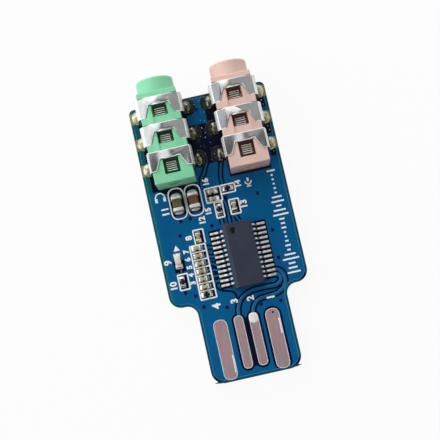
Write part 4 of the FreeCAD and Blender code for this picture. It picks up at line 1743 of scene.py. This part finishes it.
@dataclass
class SmallParts:
    """The capacitors and resistors and their solder."""

    large_ease: float = 0.07
    small_ease: float = 0.045
    solder_ease: float = 0.05
    toe_level: float = 2.12
    end_trim: float = 0.13
    inner_share: float = 0.6
    pool_margin: float = 0.05
    pool_reach: float = 0.46
    pool_height: float = 0.24

    def build(self) -> None:
        """Model and dress every small part."""
        plans = (
            ("coupling_capacitor_1", OLIVE_CERAMIC, Slot.BROWN_CERAMIC, self.large_ease, 0.0),
            ("coupling_capacitor_2", RED_CERAMIC, Slot.BROWN_CERAMIC, self.large_ease, 0.0),
        )
        for kind, count, finish, slot in (
            ("small_capacitor", 10, TAN_CERAMIC, Slot.TAN_CERAMIC),
            ("resistor", 4, RESISTOR_GLAZE, Slot.RESISTOR_GLAZE),
        ):
            plans += tuple(
                (f"{kind}_{i}", finish, slot, self.small_ease, self.end_trim)
                for i in range(1, count + 1)
            )
        for plan in plans:
            self.build_part(*plan)
        solder = Bench.copy("small_part_solder", "small_part_joints")
        Bench.ease(solder, self.solder_ease, 3)
        # The solder's low toes are white: a painted highlight.
        toe = self.toe_level * MM
        Bench.dress(solder, WET_SOLDER, (FRESH_TIN_AND_HIGHLIGHT, lambda at, normal: at.z < toe))
        Bench.hand_over(solder, None, Slot.SOLDER, "small_part_solder")
        self.build_pools()

    def build_pools(self) -> None:
        """Model the pools of solder that spread beyond the coupling capacitors' ends."""
        pools = []
        for i in (1, 2):
            low, high = Bench.corners(f"coupling_capacitor_{i}_ends")
            across = (low.x - self.pool_margin, high.x + self.pool_margin)
            for along in (
                (low.y - self.pool_reach, low.y + self.pool_reach / 2),
                (high.y - self.pool_reach / 2, high.y + self.pool_reach),
            ):
                pools.append(dome(across, along, BOARD_TOP, self.pool_height))
        Bench.hand_over(Bench.join("coupling_pools", pools), SOLDER, Slot.SOLDER)

    def build_part(self, node: str, finish: Finish, slot: Slot, ease: float, trim: float) -> None:
        """Model one part's block and its two metal ends.

        Args:
            node: The block's node; the ends' node adds a word to it.
            finish: The block's finish.
            slot: The block's slot.
            ease: Width of the rounding of its edges.
            trim: How far the ends' inner rims draw back from the part's middle.
        """
        block = Bench.copy(node, f"{node}_block")
        Bench.ease(block, ease)
        Bench.hand_over(block, finish, slot, node)
        ends = Bench.copy(f"{node}_ends", f"{node}_end_caps")
        low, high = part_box(f"{node}_ends")
        axis = 0 if high.x - low.x > high.y - low.y else 1
        middle = (low[axis] + high[axis]) / 2
        inner = self.inner_share * (high[axis] - low[axis]) / 2
        Bench.edit(ends)
        for side in (-1, 1):
            Bench.pick_points(ends, lambda at: 0 < side * (at[axis] - middle) < inner)
            shift = [0.0, 0.0, 0.0]
            shift[axis] = side * trim * MM
            bpy.ops.transform.translate(value=shift)
        Bench.clear()
        Bench.ease(ends, ease)
        Bench.hand_over(ends, TINNED_LEAD, Slot.TINNED_LEAD, f"{node}_ends")


@dataclass
class Lamp:
    """The indicator lamp: base, metal ends, resin lens and solder."""

    ease: float = 0.04
    lens_ease: float = 0.12

    def build(self) -> None:
        """Model and dress the lamp."""
        for node, name, finish, slot, ease in (
            ("lamp_base", "lamp_carrier", LAMP_SUBSTRATE, Slot.LAMP_SUBSTRATE, self.ease),
            ("lamp_ends", "lamp_end_caps", TINNED_LEAD, Slot.TINNED_LEAD, self.ease),
            ("lamp_lens", "lamp_dome", LAMP_RESIN, Slot.LAMP_RESIN, self.lens_ease),
            ("lamp_solder", "lamp_joints", AMBER_SOLDER, Slot.SOLDER, self.ease),
        ):
            piece = Bench.copy(node, name)
            Bench.ease(piece, ease, 3)
            Bench.hand_over(piece, finish, slot, node)


@dataclass
class Studio:
    """Pale floor, soft light and the camera at the photograph's angle."""

    floor_radius: float = 1500.0
    backdrop: float = 450.0
    floor_drop: float = 0.02
    floor_white: float = 0.92
    paper: str = "#F4F4F4"
    white: str = "#FFFFFF"
    sky: float = 0.14
    camera_at: tuple[float, float, float] = (0.14, -13.155, 132.61)
    camera_tilt: tuple[float, float, float] = (5.83, 1.589, -12.66)
    lens: float = 81.05
    sensor: float = 36.0
    sight: Span = (5.0, 20000.0)
    lamps: tuple[tuple[str, tuple[float, float, float], float, float], ...] = (
        ("key_light", (-340.0, 100.0, 230.0), 680.0, 2.15),
        ("right_light", (265.0, 60.0, 220.0), 560.0, 0.42),
        ("far_light", (-20.0, 270.0, 170.0), 240.0, 0.42),
    )

    def build(self) -> None:
        """Set the stage."""
        scene = bpy.context.scene
        scene.view_settings.view_transform = "Standard"
        self.build_floor()
        self.build_sky(scene)
        for name, at, size, power in self.lamps:
            self.build_lamp(name, at, size, power)
        Bench.clear()
        bpy.ops.object.camera_add(
            location=[v * MM for v in self.camera_at],
            rotation=[math.radians(v) for v in self.camera_tilt],
        )
        camera = bpy.context.active_object
        camera.data.lens = self.lens
        camera.data.sensor_width = self.sensor
        camera.data.clip_start, camera.data.clip_end = (end * MM for end in self.sight)
        scene.camera = camera

    def build_floor(self) -> None:
        """Add the floor, white to the eye and in mirrors, and shadowed as any floor."""
        Bench.clear()
        bpy.ops.mesh.primitive_circle_add(
            vertices=64, radius=self.floor_radius * MM, fill_type="NGON",
            location=(0, 0, -self.floor_drop * MM),
        )
        floor = bpy.context.active_object
        floor.name = "studio_floor"
        Bench.edit(floor)
        bpy.ops.mesh.select_mode(type="EDGE")
        bpy.ops.mesh.extrude_edges_move(
            TRANSFORM_OT_translate={"value": (0, 0, self.backdrop * MM)}
        )
        Bench.clear()
        paper = bpy.data.materials.new("white_paper")
        tree = empty_tree(paper)
        rays = add_node(tree, "LightPath")
        seen = rays["Is Camera Ray"]
        for other in ("Is Glossy Ray", "Is Transmission Ray"):
            seen = add_node(tree, "Math", {0: seen, 1: rays[other]}, operation="MAXIMUM")[0]
        share = add_node(tree, "Math", {0: seen, 1: self.floor_white}, operation="MULTIPLY")[0]
        matt = add_node(tree, "BsdfDiffuse", {"Color": linear(self.paper)})["BSDF"]
        glow = add_node(tree, "Emission", {"Color": linear(self.white), "Strength": 1.0})
        mixed = add_node(tree, "MixShader", {0: share, 1: matt, 2: glow["Emission"]})
        add_node(tree, "OutputMaterial", {"Surface": mixed["Shader"]})
        floor.data.materials.append(paper)

    def build_sky(self, scene: bpy.types.Scene) -> None:
        """Fill the room with even light."""
        scene.world = bpy.data.worlds.new("studio_room")
        tree = empty_tree(scene.world)
        even = add_node(tree, "Background", {"Color": linear(self.white), "Strength": self.sky})
        add_node(tree, "OutputWorld", {"Surface": even["Background"]})

    @staticmethod
    def build_lamp(name: str, at: Sequence[float], size: float, power: float) -> None:
        """Add a square soft light that faces the board.

        Args:
            name: The light's name.
            at: Its place.
            size: Its side.
            power: Its power in watts.
        """
        Bench.clear()
        bpy.ops.object.light_add(type="AREA", location=[v * MM for v in at])
        lamp = bpy.context.active_object
        lamp.name = name
        lamp.data.size = size * MM
        lamp.data.energy = power
        lamp.rotation_euler = (-Vector(at)).to_track_quat("-Z", "Y").to_euler()


def main() -> None:
    """Build the board's sub-assemblies and the studio in order."""
    logging.basicConfig(level=logging.INFO, format="%(name)s %(message)s")
    Board().build()
    Print().build()
    Chip().build()
    Socket("headphone", -4.95, MINT_PLASTIC, MINT_WINDOW_SHADE, NICKEL_SHEET, Slot.MINT_PLASTIC).build()
    Socket("microphone", 4.95, PINK_PLASTIC, PINK_WINDOW_SHADE, SHADED_NICKEL, Slot.PINK_PLASTIC).build()
    SmallParts().build()
    Lamp().build()
    Studio().build()


if __name__ == "__main__":
    main()
